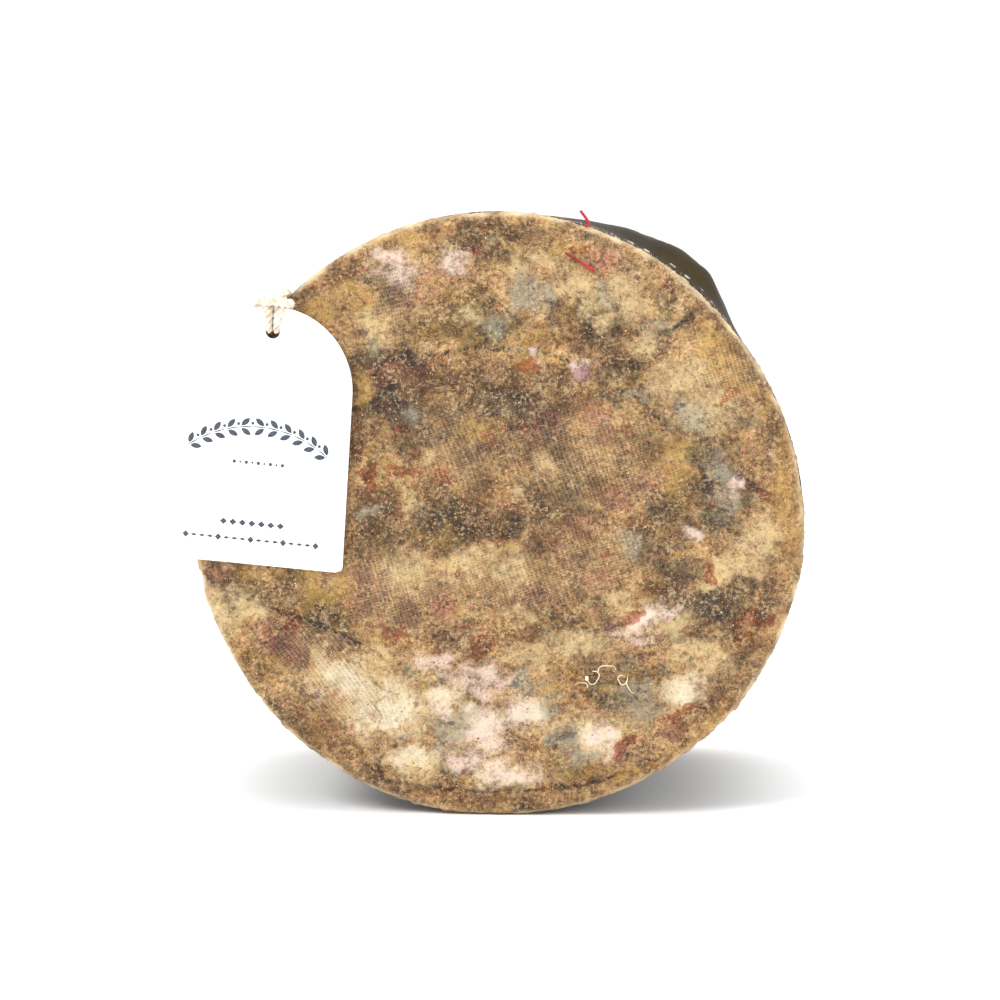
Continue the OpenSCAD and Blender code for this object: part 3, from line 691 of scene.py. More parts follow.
# The bare cloth and rind: tan, mottled at every scale and drifting in hue
mottle = noise(tree, place, 0.016, 6, 0.95)
grain = noise(tree, place, 0.0011, 3, 0.85)
tone = 0.43
# Along laps and sunk creases the tone is darkened as painted shade.
for share, amount, level in ((mottle, 1.7, 0.5), (grain, 1.5, 0.5), (told("lap_line"), -0.4, 0),
                             (patch("dark", 0.009, 2.2), -0.19, 0),
                             # The pale stretches lighten the tone as painted light from the bright floor
                             # below.
                             (patch("pale", 0.006, 2.2), 0.16, 0)):
    change = maths(tree, "MULTIPLY", maths(tree, "SUBTRACT", share, level), amount)
    tone = maths(tree, "ADD", tone, change)
colour = graded(tree, tone, [(0.0, srgb(46, 34, 22)), (0.2, srgb(90, 67, 43)), (0.4, srgb(146, 113, 74)),
                             (0.58, srgb(188, 151, 100)), (0.8, srgb(220, 191, 138)),
                             (1.0, srgb(240, 222, 180))])
for size, strength, way, shade in ((0.0071, 0.75, "MULTIPLY", (1.0, 0.7, 0.42, 1)),
                                   (0.0093, 0.55, "MIX", srgb(196, 162, 86)),
                                   (0.0058, 0.85, "MULTIPLY", (0.95, 0.7, 0.9, 1)),
                                   (0.0082, 0.5, "MULTIPLY", (0.66, 0.67, 0.68, 1)),
                                   (0.0046, 0.4, "MIX", srgb(202, 182, 150))):
    drift = noise(tree, place, size, 5, 0.8)
    colour = paint(tree, fit(tree, drift, 0.52, 0.7, 0, strength), colour, shade, way)
# Each mould stains or covers the cloth that it grows in
for kind, size, bite, edges, strength, way, shade in (
        ("ochre", 0.0052, 2.8, (0, 1.15), 0.7, "MIX", srgb(184, 146, 78)),
        ("mauve", 0.0063, 3.0, (0, 1.15), 1, "MULTIPLY", (0.9, 0.68, 0.88, 1)),
        ("crust", 0.0042, 3.4, (0.1, 0.9), 0.95, "MULTIPLY", (0.54, 0.45, 0.38, 1)),
        ("olive", 0.0057, 2.8, (0, 1.1), 1, "MULTIPLY", (0.7, 0.69, 0.46, 1)),
        ("cream", 0.0049, 3.4, (0, 1.15), 0.68, "MIX", srgb(212, 188, 138)),
        # The pale entry is painted light from the bright floor below, laid on in pale cream.
        ("pale", 0.0066, 3.2, (0, 1.15), 0.9, "MIX", srgb(222, 210, 182)),
        ("pink", 0.0044, 3.0, (0, 1.1), 0.8, "MIX", srgb(222, 200, 184)),
        ("grey", 0.0054, 3.0, (0, 1.1), 0.75, "MIX", srgb(148, 142, 122)),
        ("slate", 0.0038, 3.0, (0.1, 0.9), 0.95, "MULTIPLY", (0.46, 0.52, 0.6, 1)),
        ("plum", 0.0026, 1.1, (0.38, 0.54), 0.85, "MULTIPLY", (0.5, 0.37, 0.47, 1)),
        ("rust", 0.0018, 1.0, (0.4, 0.52), 0.9, "MULTIPLY", (0.68, 0.36, 0.3, 1)),
        ("black", 0.0012, 1.8, (0.4, 0.7), 0.8, "MULTIPLY", (0.3, 0.27, 0.3, 1))):
    covered = times(tree, patch(kind, size, bite, *edges), strength)
    colour = paint(tree, covered, colour, shade, way)
# Under every mould the cloth still shows, light and dark by turns, and over it lie
# crumbs and pits from one to three millimetres apart. Where the pale stretches carry
# painted light from the floor there are fewer.
bare = fit(tree, patch("pale", 0.0066, 3.2, 0, 1), 0, 1, 1, 0.45)
for size, low, high, amount, shade in ((0.0034, 0.52, 0.36, 0.9, (0.5, 0.46, 0.43, 1)),
                                       (0.0013, 0.5, 0.34, 0.85, (0.42, 0.37, 0.34, 1)),
                                       (0.0022, 0.52, 0.64, 0.7, (1.0, 0.75, 1.0, 1)),
                                       (0.0029, 0.52, 0.64, 0.6, (0.86, 0.93, 0.64, 1))):
    sunk = fit(tree, noise(tree, place, size, 5, 0.85), low, high, 0, amount)
    colour = paint(tree, times(tree, sunk, bare), colour, shade, "MULTIPLY")
for size, cluster, low, strength, way, shade in (
        (0.0011, 0.006, 0.56, 0.9, "MULTIPLY", (0.38, 0.32, 0.29, 1)),
        (0.0021, 0.011, 0.62, 0.85, "MULTIPLY", (0.4, 0.32, 0.28, 1)),
        (0.0008, 0.0075, 0.54, 0.34, "MIX", srgb(226, 206, 164)),
        (0.0024, 0.0095, 0.61, 0.9, "MULTIPLY", (0.7, 0.38, 0.46, 1)),
        (0.0028, 0.008, 0.62, 0.6, "MULTIPLY", (0.86, 0.52, 0.36, 1))):
    bits = fit(tree, noise(tree, place, size, 2, 0.7), low, low + 0.07)
    clusters = fit(tree, noise(tree, place, cluster, 3, 0.7), 0.42, 0.62, 0.1, strength)
    colour = paint(tree, times(tree, bits, clusters, bare), colour, shade, way)
# A lighter band on the rounded rim: worn, fuzzy cloth with a painted highlight.
colour = paint(tree, times(tree, told("rim_wear"), 0.65), colour, srgb(228, 206, 166))

weave = use_group(tree, muslin, {"Place": place, "Turn": told("weave_turn")})
shown = maths(tree, "ADD", times(tree, patch("mesh_seen", 0.007, 3.0), 0.42), 0.05)
clogged = fit(tree, noise(tree, place, 0.0022, 3, 0.8), 0.42, 0.6, 0.15, 1.0)
hole_shade = times(tree, weave["Holes"], shown, clogged)
thread_highlight = times(tree, weave["Thread"], shown, 0.35)
# The threads of the seen mesh carry a painted highlight, and its holes a painted shade.
colour = paint(tree, thread_highlight, colour, srgb(214, 186, 140))
colour = paint(tree, hole_shade, colour, srgb(72, 52, 36))

grain_height = times(tree, grain, 1.4)
weave_height = times(tree, weave["Height"], shown, 0.8)
relief = add_node(tree, "ShaderNodeBump", {"Height": maths(tree, "ADD", grain_height, weave_height),
                                           "Strength": 0.9, "Distance": 0.0005})
rough = fit(tree, mottle, 0.3, 0.7, 0.62, 0.86)
finish_with(tree, output, {"Base Color": colour, "Roughness": rough, "Normal": relief.outputs[0],
                           "Specular IOR Level": 0.35})
for piece in (front_end, back_end):
    piece.data.materials.append(cloth_finish)

# ---- Middle of the cheese ------------------------------------------------------------
# Between its two ends the cheese is bound in one more strip of muslin, under their
# turned down borders. It shows only where the loose wrap gapes, above all at the back.
MIDDLE_SIDES = 300
MIDDLE_ROWS = 60
MIDDLE_TUCK = 0.8 * MM
MIDDLE_HALF = BACK_Y - CAP_DEPTH + MIDDLE_TUCK
MIDDLE_SUNK = 0.35 * MM
MIDDLE_SEED = 83

bpy.ops.object.select_all(action="DESELECT")
bpy.ops.mesh.primitive_circle_add(vertices=MIDDLE_SIDES, radius=1, fill_type="NGON")
middle = bpy.context.object
middle.name = "cloth_strip_middle"
bpy.ops.object.mode_set(mode="EDIT")
bpy.ops.mesh.select_mode(type="FACE")
bpy.ops.mesh.select_all(action="SELECT")
draw_out(MIDDLE_ROWS, 1)
bpy.ops.object.mode_set(mode="OBJECT")
start = vertex_places(middle.data)
angle = np.arctan2(start[:, 1], start[:, 0])
depth = (2 * start[:, 2] / MIDDLE_ROWS - 1) * MIDDLE_HALF
cloth = np.column_stack([CHEESE_R * np.mod(angle + math.pi / 2, 2 * math.pi), depth]) / MM
ring_places = np.column_stack([CHEESE_R * np.cos(angle), CHEESE_R * np.sin(angle), depth]) / MM
radius = outline(angle) + swell(depth) - MIDDLE_SUNK
radius += (0.1 * waves(ring_places, 14, MIDDLE_SEED) + 0.06 * waves(ring_places, 4, MIDDLE_SEED + 1)) * MM
z = np.maximum(AXIS_Z + radius * np.sin(angle), FOOT_Z + 0.0002)
set_places(middle.data, np.column_stack([radius * np.cos(angle), depth, z]))
face_outwards()
bpy.ops.object.shade_smooth()
nowhere = np.zeros(len(cloth))
grown = {kind: nowhere for kind in MOULDS}
for step, kind in enumerate(["crust", "cream", "ochre", "plum", "olive", "dark", "mesh_seen"]):
    grown[kind] = 0.8 * ease(0.45 + 0.4 * waves(ring_places, 22, MIDDLE_SEED + 2 + step))
put_cloth(middle, cloth, MIDDLE_SEED, grown, nowhere, nowhere, nowhere)
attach(middle, "root")
middle.data.materials.append(cloth_finish)

# ---- Side wrap -----------------------------------------------------------------------
# A band of dark coated paper goes once round the side. It hugs the cloth except at the
# upper right, where it has sprung loose and its outer end laps over its inner end.
WRAP_T = 0.3 * MM
WRAP_COLUMNS = 430
WRAP_ROWS = 54
SEAM_AT = 49
SEAM_LAP = 9
SEAM_CLIMB = 5
SEAM_GAP = 0.06 * MM
# How far the loose stretch stands off, in millimetres, at some angles in degrees
LOOSE_ANGLES = [33, 38, 43, 48.5, 54, 64, 74, 83]
LOOSE_HEIGHTS = [0, 0.7, 2.7, 5.3, 5.8, 3.9, 1.3, 0]
OPENING_SHARE = 0.45
DASH_PITCH = 4.7 * MM
DASH_INSET = 4.8 * MM

bpy.ops.object.select_all(action="DESELECT")
bpy.ops.mesh.primitive_grid_add(x_subdivisions=WRAP_COLUMNS, y_subdivisions=WRAP_ROWS, size=2)
wrap = bpy.context.object
wrap.name = "side_wrap"
start = vertex_places(wrap.data)
degrees = SEAM_AT + (1 - start[:, 0]) / 2 * (360 + SEAM_LAP)
angle = np.radians(degrees)
arc = CHEESE_R * angle
along = start[:, 1] * BAND_Y
flat_places = np.column_stack([arc, along]) / MM
frayed_edge = 0.25 * MM * waves(flat_places[:, :1], 12, 201) * np.abs(start[:, 1]) ** 20
along = along - np.sign(along) * (0.3 * MM + frayed_edge)
once_round = np.mod(degrees, 360)
stand = np.mean([np.interp(once_round + step, LOOSE_ANGLES, LOOSE_HEIGHTS)
                 for step in (-1.2, -0.4, 0.4, 1.2)], axis=0)
opened = ease((along + BAND_Y) / (OPENING_SHARE * BAND_Y))
loose = np.clip(stand / 2, 0, 1)
climb = ease((degrees - 360 - SEAM_AT + SEAM_CLIMB) / SEAM_CLIMB)
ripples = 0.14 * waves(flat_places * (1, 0.25), 9, 202) + 0.05 * waves(flat_places * (1, 0.5), 3.2, 203)
snug = 0.03 + 0.03 * waves(flat_places, 16, 204)
radius = outline(angle) + swell(along) + stand * MM * opened + climb * (WRAP_T + SEAM_GAP * opened)
radius += (np.maximum(snug, 0) + ripples * loose * opened) * MM
z = np.maximum(AXIS_Z + radius * np.sin(angle), WRAP_T)
set_places(wrap.data, np.column_stack([radius * np.cos(angle), along, z]))
put_values(wrap.data, "wrap_place", np.column_stack([arc, along + BAND_Y, 0 * arc]))
bpy.ops.object.shade_smooth()
wall = wrap.modifiers.new("paper", "SOLIDIFY")
wall.thickness = WRAP_T
wall.offset = 1
wall.use_even_offset = True
bpy.ops.object.modifier_apply(modifier=wall.name)
placed = vertex_places(wrap.data)
placed[:, 2] = np.maximum(placed[:, 2], 0)
set_places(wrap.data, placed)
bpy.ops.object.select_all(action="DESELECT")
wrap.select_set(True)
bpy.ops.object.shade_smooth_by_angle(angle=math.radians(40))

wrap_finish, tree, output = new_material("dark_coated_paper")
place = add_node(tree, "ShaderNodeAttribute", attribute_name="wrap_place").outputs["Vector"]
cloudy = noise(tree, place, 0.03, 4, 0.6)
colour = paint(tree, fit(tree, cloudy, 0.35, 0.65), srgb(34, 25, 15), srgb(54, 45, 26))
specks = noise(tree, place, 0.0007, 2, 0.6)
colour = paint(tree, fit(tree, specks, 0.62, 0.8, 0, 0.35), colour, srgb(112, 98, 76))
# A row of short pale dashes is printed along each edge
apart = add_node(tree, "ShaderNodeSeparateXYZ", {0: place}).outputs
beat = away(tree, maths(tree, "FRACT", maths(tree, "DIVIDE", apart["X"], DASH_PITCH)), 0.5)
dash = fit(tree, beat, 0.2, 0.15)
broken = fit(tree, noise(tree, place, 0.0035, 4, 0.8), 0.45, 0.55)
rows = [fit(tree, away(tree, apart["Y"], row), 0.0009, 0.0006)
        for row in (DASH_INSET, 2 * BAND_Y - DASH_INSET)]
printed = times(tree, dash, broken, maths(tree, "MAXIMUM", rows[0], rows[1]))
colour = paint(tree, times(tree, printed, 0.85), colour, srgb(196, 186, 192))
creased = add_node(tree, "ShaderNodeBump", {"Height": noise(tree, place, 0.004, 5, 0.55), "Strength": 0.35,
                                            "Distance": 0.0004})
finish_with(tree, output, {"Base Color": colour, "Roughness": fit(tree, cloudy, 0.3, 0.7, 0.3, 0.46),
                           "Normal": creased.outputs[0], "Specular IOR Level": 0.02})
wrap.data.materials.append(wrap_finish)
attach(wrap, "root")
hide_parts("side_band")

# ---- Hang tag ------------------------------------------------------------------------
# A folded tag of thick white card, punched at the top of its arch. Its two leaves hang
# by the string, turned a little against each other, and lean on the cheese below.
TAG_ARCH_R = 21.4
TAG_BODY = 45
TAG_FLARE = 0.8
TAG_CORNER = 1.2
LEAF_T = 0.5
TAG_HOLE_R = 1.85
TAG_HOLE_DROP = 6.4
LEAF_TURN = 0.6
STRING_R = 0.85
CLEAR = 0.05
TAG_X = -0.732 * CHEESE_R / MM
TAG_Z = AXIS_Z / MM + 0.616 * CHEESE_R / MM
TAG_LEAN = math.radians(5.4)
HOLE_Y = FACE_Y / MM - 2 * STRING_R - 2 * CLEAR - 2 * LEAF_T
ARCH_BELOW_HOLE = TAG_ARCH_R - TAG_HOLE_DROP
TAG_BELOW_HOLE = ARCH_BELOW_HOLE + TAG_BODY
TAG_TILT = math.asin((2 * STRING_R + CLEAR) / TAG_BELOW_HOLE)
TAG_SIDES = 340
TAG_RINGS = 60
# Middle, radius, half width and depth of the faint arc pressed into the front leaf
PRESSED_MIDDLE = (-0.2, 15.4)
PRESSED_R = 31.5
PRESSED_HALF = 10.6
PRESSED_DEEP = 0.07


def from_tag(points):
    """Places on the tag, in millimetres across, up and out from its hole, as places on
    the part in metres."""
    x, y, out = np.asarray(points, float).T
    up = y * math.cos(TAG_TILT) - out * math.sin(TAG_TILT)
    forward = y * math.sin(TAG_TILT) + out * math.cos(TAG_TILT)
    across = TAG_X + x * math.cos(TAG_LEAN) + up * math.sin(TAG_LEAN)
    high = TAG_Z - x * math.sin(TAG_LEAN) + up * math.cos(TAG_LEAN)
    return np.column_stack([across, HOLE_Y - forward, high]) * MM


def in_tag(x, y):
    """Whether places lie inside the tag's outline."""
    below = np.clip((-ARCH_BELOW_HOLE - y) / TAG_BODY, 0, 1)
    half = TAG_ARCH_R + TAG_FLARE * below
    in_arch = x ** 2 + (y + ARCH_BELOW_HOLE) ** 2 < TAG_ARCH_R ** 2
    in_body = (y < -ARCH_BELOW_HOLE) & (y > -TAG_BELOW_HOLE) & (np.abs(x) < half)
    past_side = np.abs(x) - (half - TAG_CORNER)
    past_foot = -TAG_BELOW_HOLE + TAG_CORNER - y
    cut_corner = (past_side > 0) & (past_foot > 0) & (np.hypot(past_side, past_foot) > TAG_CORNER)
    return in_arch | (in_body & ~cut_corner)


def leaf_curl(x, y):
    """How far a leaf has curled out of flat, in millimetres."""
    return 0.1 * waves(np.column_stack([x, y]), 60, 301) * np.clip(-y / TAG_BELOW_HOLE, 0, 1)


def tag_leaf(name, depth, turn, pressed):
    """One leaf: rings of cells between the hole and the outline, given a thickness."""
    # The outline is found along rays from the hole and shared out evenly by length
    rays = np.linspace(0, 2 * math.pi, 6001)
    near, far = np.full(len(rays), TAG_HOLE_R), np.full(len(rays), TAG_BELOW_HOLE + TAG_ARCH_R)
    for step in range(30):
        half_way = (near + far) / 2
        inside = in_tag(half_way * np.cos(rays), half_way * np.sin(rays))
        near, far = np.where(inside, half_way, near), np.where(inside, far, half_way)
    rim = np.column_stack([near * np.cos(rays), near * np.sin(rays)])
    walked = np.concatenate([[0], np.cumsum(np.linalg.norm(np.diff(rim, axis=0), axis=1))])
    even_rays = np.interp(np.arange(TAG_SIDES) / TAG_SIDES * walked[-1], walked, rays)
    reach = np.interp(even_rays, rays, near)

    bpy.ops.object.select_all(action="DESELECT")
    bpy.ops.mesh.primitive_circle_add(vertices=TAG_SIDES, radius=1, fill_type="NOTHING")
    leaf = bpy.context.object
    leaf.name = name
    bpy.ops.object.mode_set(mode="EDIT")
    bpy.ops.mesh.select_mode(type="EDGE")
    bpy.ops.mesh.select_all(action="SELECT")
    draw_out(TAG_RINGS, 1)
    bpy.ops.object.mode_set(mode="OBJECT")
    start = vertex_places(leaf.data)
    ring = np.rint(start[:, 2]).astype(int)
    turns = np.arctan2(start[:, 1], start[:, 0]) / (2 * math.pi)
    index = np.mod(np.rint(turns * TAG_SIDES).astype(int), TAG_SIDES)
    out = TAG_HOLE_R + (reach[index] - TAG_HOLE_R) * ring / TAG_RINGS
    x, y = out * np.cos(even_rays[index]), out * np.sin(even_rays[index])
    curl = leaf_curl(x, y)
    across, up = x - PRESSED_MIDDLE[0], y - PRESSED_MIDDLE[1]
    off_arc = (np.hypot(across, up) - PRESSED_R) / 0.45
    ends = ease((PRESSED_HALF - np.abs(across)) / 1.5) * (up < 0)
    curl -= pressed * PRESSED_DEEP * np.exp(-off_arc ** 2) * ends
    c, s = math.cos(math.radians(turn)), math.sin(math.radians(turn))
    set_places(leaf.data, from_tag(np.column_stack([x * c - y * s, x * s + y * c, curl - depth])))
    face_outwards()
    if leaf.data.polygons[0].normal.y > 0:
        bpy.ops.object.mode_set(mode="EDIT")
        bpy.ops.mesh.flip_normals()
        bpy.ops.object.mode_set(mode="OBJECT")
    wall = leaf.modifiers.new("card", "SOLIDIFY")
    wall.thickness = LEAF_T * MM
    wall.offset = -1
    bpy.ops.object.modifier_apply(modifier=wall.name)
    worn = leaf.modifiers.new("worn_edge", "BEVEL")
    worn.width = 0.07 * MM
    worn.segments = 2
    worn.limit_method = "ANGLE"
    worn.angle_limit = math.radians(55)
    bpy.ops.object.modifier_apply(modifier=worn.name)
    bpy.ops.object.shade_smooth_by_angle(angle=math.radians(35))
    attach(leaf, "root")
    return leaf


front_leaf = tag_leaf("tag_leaf_front", 0, 0, 1)
back_leaf = tag_leaf("tag_leaf_back", LEAF_T + 0.03, LEAF_TURN, 0)
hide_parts("tag_front_leaf")
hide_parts("tag_back_leaf")

card_finish, tree, output = new_material("white_card")
place = add_node(tree, "ShaderNodeTexCoord").outputs["Object"]
pulp = noise(tree, place, 0.0005, 3, 0.6)
toned = fit(tree, noise(tree, place, 0.02, 3, 0.5), 0.4, 0.7, 0, 0.5)
colour = paint(tree, toned, srgb(250, 250, 249), srgb(246, 244, 239))
felt = add_node(tree, "ShaderNodeBump", {"Height": pulp, "Strength": 0.25, "Distance": 0.00006})
finish_with(tree, output, {"Base Color": colour, "Roughness": fit(tree, pulp, 0.3, 0.7, 0.5, 0.62),
                           "Normal": felt.outputs[0], "Specular IOR Level": 0.4})
for leaf in (front_leaf, back_leaf):
    leaf.data.materials.append(card_finish)

# ---- Print on the tag ----------------------------------------------------------------
# Slate grey ink on the front leaf: an arched garland of leaves and berries, a row of
# dots, a row of lozenges and a dashed line. Ink is a very thin raised film.
INK_T = 0.03
INK_MIDDLE = -1.3
GARLAND_R = 29
GARLAND_TOP = -24.6
GARLAND_HALF = 35
GARLAND_SPRIGS = 11
SPRIG_LONG = 3.6
SPRIG_WIDE = 0.34
FROND_LONG = 2.9
FROND_WIDE = 1.4
FROND_OUT = 1.25
FROND_SLANT = 38
BERRY = 0.85
BERRY_OUT = 0.9
# Each row of marks: how many, how far apart and how high, measured from the hole
DOTS = (9, 1.55, -33.9)
LOZENGES = (7, 2.45, -49.5)
BARS = (17, 2.1, -53.7)
marks = []


def ink_mark(sides, long, wide, x, y, turn, pointed=False):
    """One small printed shape; a pointed one is a leaf."""
    bpy.ops.object.select_all(action="DESELECT")
    bpy.ops.mesh.primitive_circle_add(vertices=sides, radius=1, fill_type="NGON")
    mark = bpy.context.object
    bpy.ops.object.mode_set(mode="EDIT")
    bpy.ops.mesh.select_all(action="SELECT")
    bpy.ops.mesh.extrude_region_move(TRANSFORM_OT_translate={"value": (0, 0, INK_T)})
    bpy.ops.mesh.select_all(action="SELECT")
    bpy.ops.mesh.normals_make_consistent(inside=False)
    bpy.ops.object.mode_set(mode="OBJECT")
    start = vertex_places(mark.data)
    flat = start[:, 0] * long / 2
    tall = start[:, 1] * wide / 2 * (np.abs(start[:, 1]) ** 0.7 if pointed else 1)
    c, s = math.cos(math.radians(turn)), math.sin(math.radians(turn))
    across, up = x + flat * c - tall * s, y + flat * s + tall * c
    out = leaf_curl(across, up) + start[:, 2] - INK_T / 2
    set_places(mark.data, from_tag(np.column_stack([across, up, out])))
    marks.append(mark)


def across_row(row, shift=0):
    """The places of the marks in a row, each with its number."""
    count, pitch, up = row
    first = -(count - 1) // 2
    return [(number, INK_MIDDLE + shift + (number + first) * pitch, up) for number in range(count)]


for sprig in range(GARLAND_SPRIGS):
    bearing = GARLAND_HALF * (1 - 2 * sprig / (GARLAND_SPRIGS - 1))
    # A sprig is a stalk along the arch with a pair of leaves, and a berry between pairs
    x = INK_MIDDLE - GARLAND_R * math.sin(math.radians(bearing))
    y = GARLAND_TOP - GARLAND_R * (1 - math.cos(math.radians(bearing)))
    outward = 1 if bearing > 0 else -1
    ink_mark(6, SPRIG_LONG, SPRIG_WIDE, x, y, bearing)
    c, s = math.cos(math.radians(bearing + 90)), math.sin(math.radians(bearing + 90))
    for side in (-FROND_OUT, FROND_OUT):
        lean = bearing + math.copysign(FROND_SLANT, side) * outward
        ink_mark(14, FROND_LONG, FROND_WIDE, x + side * c, y + side * s, lean, pointed=True)
    if sprig < GARLAND_SPRIGS - 1:
        between = math.radians(bearing - GARLAND_HALF / (GARLAND_SPRIGS - 1))
        x = INK_MIDDLE - (GARLAND_R + BERRY_OUT) * math.sin(between)
        y = GARLAND_TOP - GARLAND_R + (GARLAND_R + BERRY_OUT) * math.cos(between)
        ink_mark(10, BERRY, BERRY, x, y, 0)
for number, x, y in across_row(DOTS, 0.4):
    dot = 0.6 if number % 2 else 0.95
    ink_mark(10, dot, dot, x, y, 0)
for number, x, y in across_row(LOZENGES):
    ink_mark(4, 1.9, 1.7, x, y, 0)
for number, x, y in across_row(BARS):
    ink_mark(4, 1.7, 0.8 if number % 4 else 1.8, x, y, 0)
bpy.ops.object.select_all(action="DESELECT")
for mark in marks:
    mark.select_set(True)
bpy.context.view_layer.objects.active = marks[0]
bpy.ops.object.join()
ink = bpy.context.object
ink.name = "tag_print"
ink_finish, tree, output = new_material("slate_ink")
place = add_node(tree, "ShaderNodeTexCoord").outputs["Object"]
uneven_ink = fit(tree, noise(tree, place, 0.0006, 3, 0.6), 0.35, 0.7)
colour = paint(tree, uneven_ink, srgb(42, 52, 64), srgb(70, 80, 92))
finish_with(tree, output, {"Base Color": colour, "Roughness": fit(tree, uneven_ink, 0, 1, 0.45, 0.65)})
ink.data.materials.append(ink_finish)
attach(ink, "root")

# ---- String --------------------------------------------------------------------------
# White cotton string of three plies, each spun from finer yarns. It is hitched through
# the hole of the tag, and both of its tails run back over the rim into the cloth.
LEG_X = STRING_R + 1.5 * CLEAR
BEHIND = -2 * LEAF_T - STRING_R - CLEAR
BEFORE = STRING_R + CLEAR
TOP = TAG_HOLE_DROP
HOLE_REST = 0.3
PLY_PITCH = 5.2
YARN_PITCH = 2.6
YARNS = 4
# Where the plies and yarns lie and how thick a yarn is, as shares of the radius
PLY_OUT = 0.52
YARN_OUT = 0.26
YARN_THICK = 0.235
SWELLS_BY = 0.45
# Angles, in degrees, at which the two tails cross the rim
RIM_TAILS = (136, 133)
SPLAYED_FIBRES = 46
LOOSE_FIBRES = 420


def smoothed(route, rounds):
    """A smooth curve through every point of a route; each round doubles its points."""
    route = np.asarray(route, float)
    for doubling in range(rounds):
        before = np.vstack([route[:1], route[:-2]])
        after = np.vstack([route[2:], route[-1:]])
        halfway = (9 * (route[:-1] + route[1:]) - before - after) / 16
        route = np.vstack([np.stack([route[:-1], halfway], axis=1).reshape(-1, 3), route[-1:]])
    return route


def even_route(route, step):
    """A route with its points a step apart."""
    walked = np.concatenate([[0], np.cumsum(np.linalg.norm(np.diff(route, axis=0), axis=1))])
    count = max(3, int(walked[-1] / step))
    at = np.linspace(0, walked[-1], count)
    return np.column_stack([np.interp(at, walked, route[:, axis]) for axis in range(3)])


def wound(route, radius, pitch, start_turn):
    """A route that winds round another one, at a radius and with a pitch."""
    along = np.gradient(route, axis=0)
    along /= np.linalg.norm(along, axis=1)[:, None]
    step = np.linalg.norm(np.diff(route, axis=0), axis=1)
    walked = np.concatenate([[0], np.cumsum(step)])
    side = np.cross(along[0], (0.3, 1, 0.2))
    sides = []
    for direction in along:
        side = side - (side @ direction) * direction
        side = side / np.linalg.norm(side)
        sides.append(side)
    sides = np.array(sides)
    others = np.cross(along, sides)
    turn = (2 * math.pi * walked / pitch + start_turn)[:, None]
    return route + radius * (np.cos(turn) * sides + np.sin(turn) * others)


def threads(name, routes, radii, corners=6):
    """Round threads along routes in metres, joined as one closed mesh."""
    bpy.ops.object.select_all(action="DESELECT")
    drawn = bpy.data.curves.new(name, "CURVE")
    drawn.dimensions = "3D"
    drawn.bevel_depth = 1
    drawn.bevel_mode = "ROUND"
    drawn.bevel_resolution = max(0, corners // 2 - 2)
    drawn.use_fill_caps = True
    for route, radius in zip(routes, radii):
        line = drawn.splines.new("POLY")
        line.points.add(len(route) - 1)
        line.points.foreach_set("co", np.column_stack([route, np.ones(len(route))]).ravel())
        line.points.foreach_set("radius", np.broadcast_to(radius, len(route)).astype(float))
    piece = bpy.data.objects.new(name, drawn)
    bpy.context.scene.collection.objects.link(piece)
    piece.select_set(True)
    bpy.context.view_layer.objects.active = piece
    bpy.ops.object.convert(target="MESH")
    piece = bpy.context.object
    bpy.ops.object.mode_set(mode="EDIT")
    bpy.ops.mesh.select_all(action="SELECT")
    bpy.ops.mesh.remove_doubles(threshold=1e-7)
    bpy.ops.mesh.normals_make_consistent(inside=False)
    bpy.ops.object.mode_set(mode="OBJECT")
    bpy.ops.object.shade_smooth()
    return piece


def tail_points(s):
    """Up the front of the tag from the hole and under the bar, for one leg."""
    return [(s * 1.2, TOP + 0.9, -0.6), (s * 1.25, TOP + 0.6, 0.5), (s * 1.35, TOP - 0.3, 1.4),
            (s * 1.3, 4.2, 1.35), (s * 1.1, 2.2, 1.1), (s * LEG_X, 1.1, 0.95 * BEFORE),
            (s * LEG_X, 0.45, 0.3)]


def back_points(s):
    """From the hole up the back of the tag and round to the bar, for one leg."""
    return [(s * LEG_X, HOLE_REST, -LEAF_T), (s * LEG_X, 0.45, -2 * LEAF_T - 0.3),
            (s * LEG_X * 1.1, 1.1, -2 * LEAF_T - 0.95 * BEFORE), (s * 1.5, 2.4, BEHIND),
            (s * 2.4, 4.2, BEHIND), (s * 3.2, 5.9, BEHIND),
            (s * 3.7, TOP + 0.8, BEHIND + 0.8), (s * 3.75, TOP + 1.1, -0.4),
            (s * 3.4, TOP + 1, 1.3), (s * 2.3, TOP + 1.1, 2.3), (s * 1, TOP + 1.35, 2.8)]


def over_rim(degrees):
    """From in front of the rim back into the cloth of the side."""
    angle = math.radians(degrees)
    made = []
    for stand_off, back in ((0.6, -0.9), (0.25, 1.2), (0.05, 3)):
        out = float(outline(angle)) + (stand_off + STRING_R + CLEAR) * MM
        made.append((out * math.cos(angle), FACE_Y + back * MM, AXIS_Z + out * math.sin(angle)))
    return made


hitch = np.vstack([
    over_rim(RIM_TAILS[0])[::-1],
    from_tag(tail_points(-1) + back_points(-1) + back_points(1)[::-1] + tail_points(1)[::-1]),
    over_rim(RIM_TAILS[1])])
string_route = even_route(smoothed(hitch, 4), 0.2 * MM)
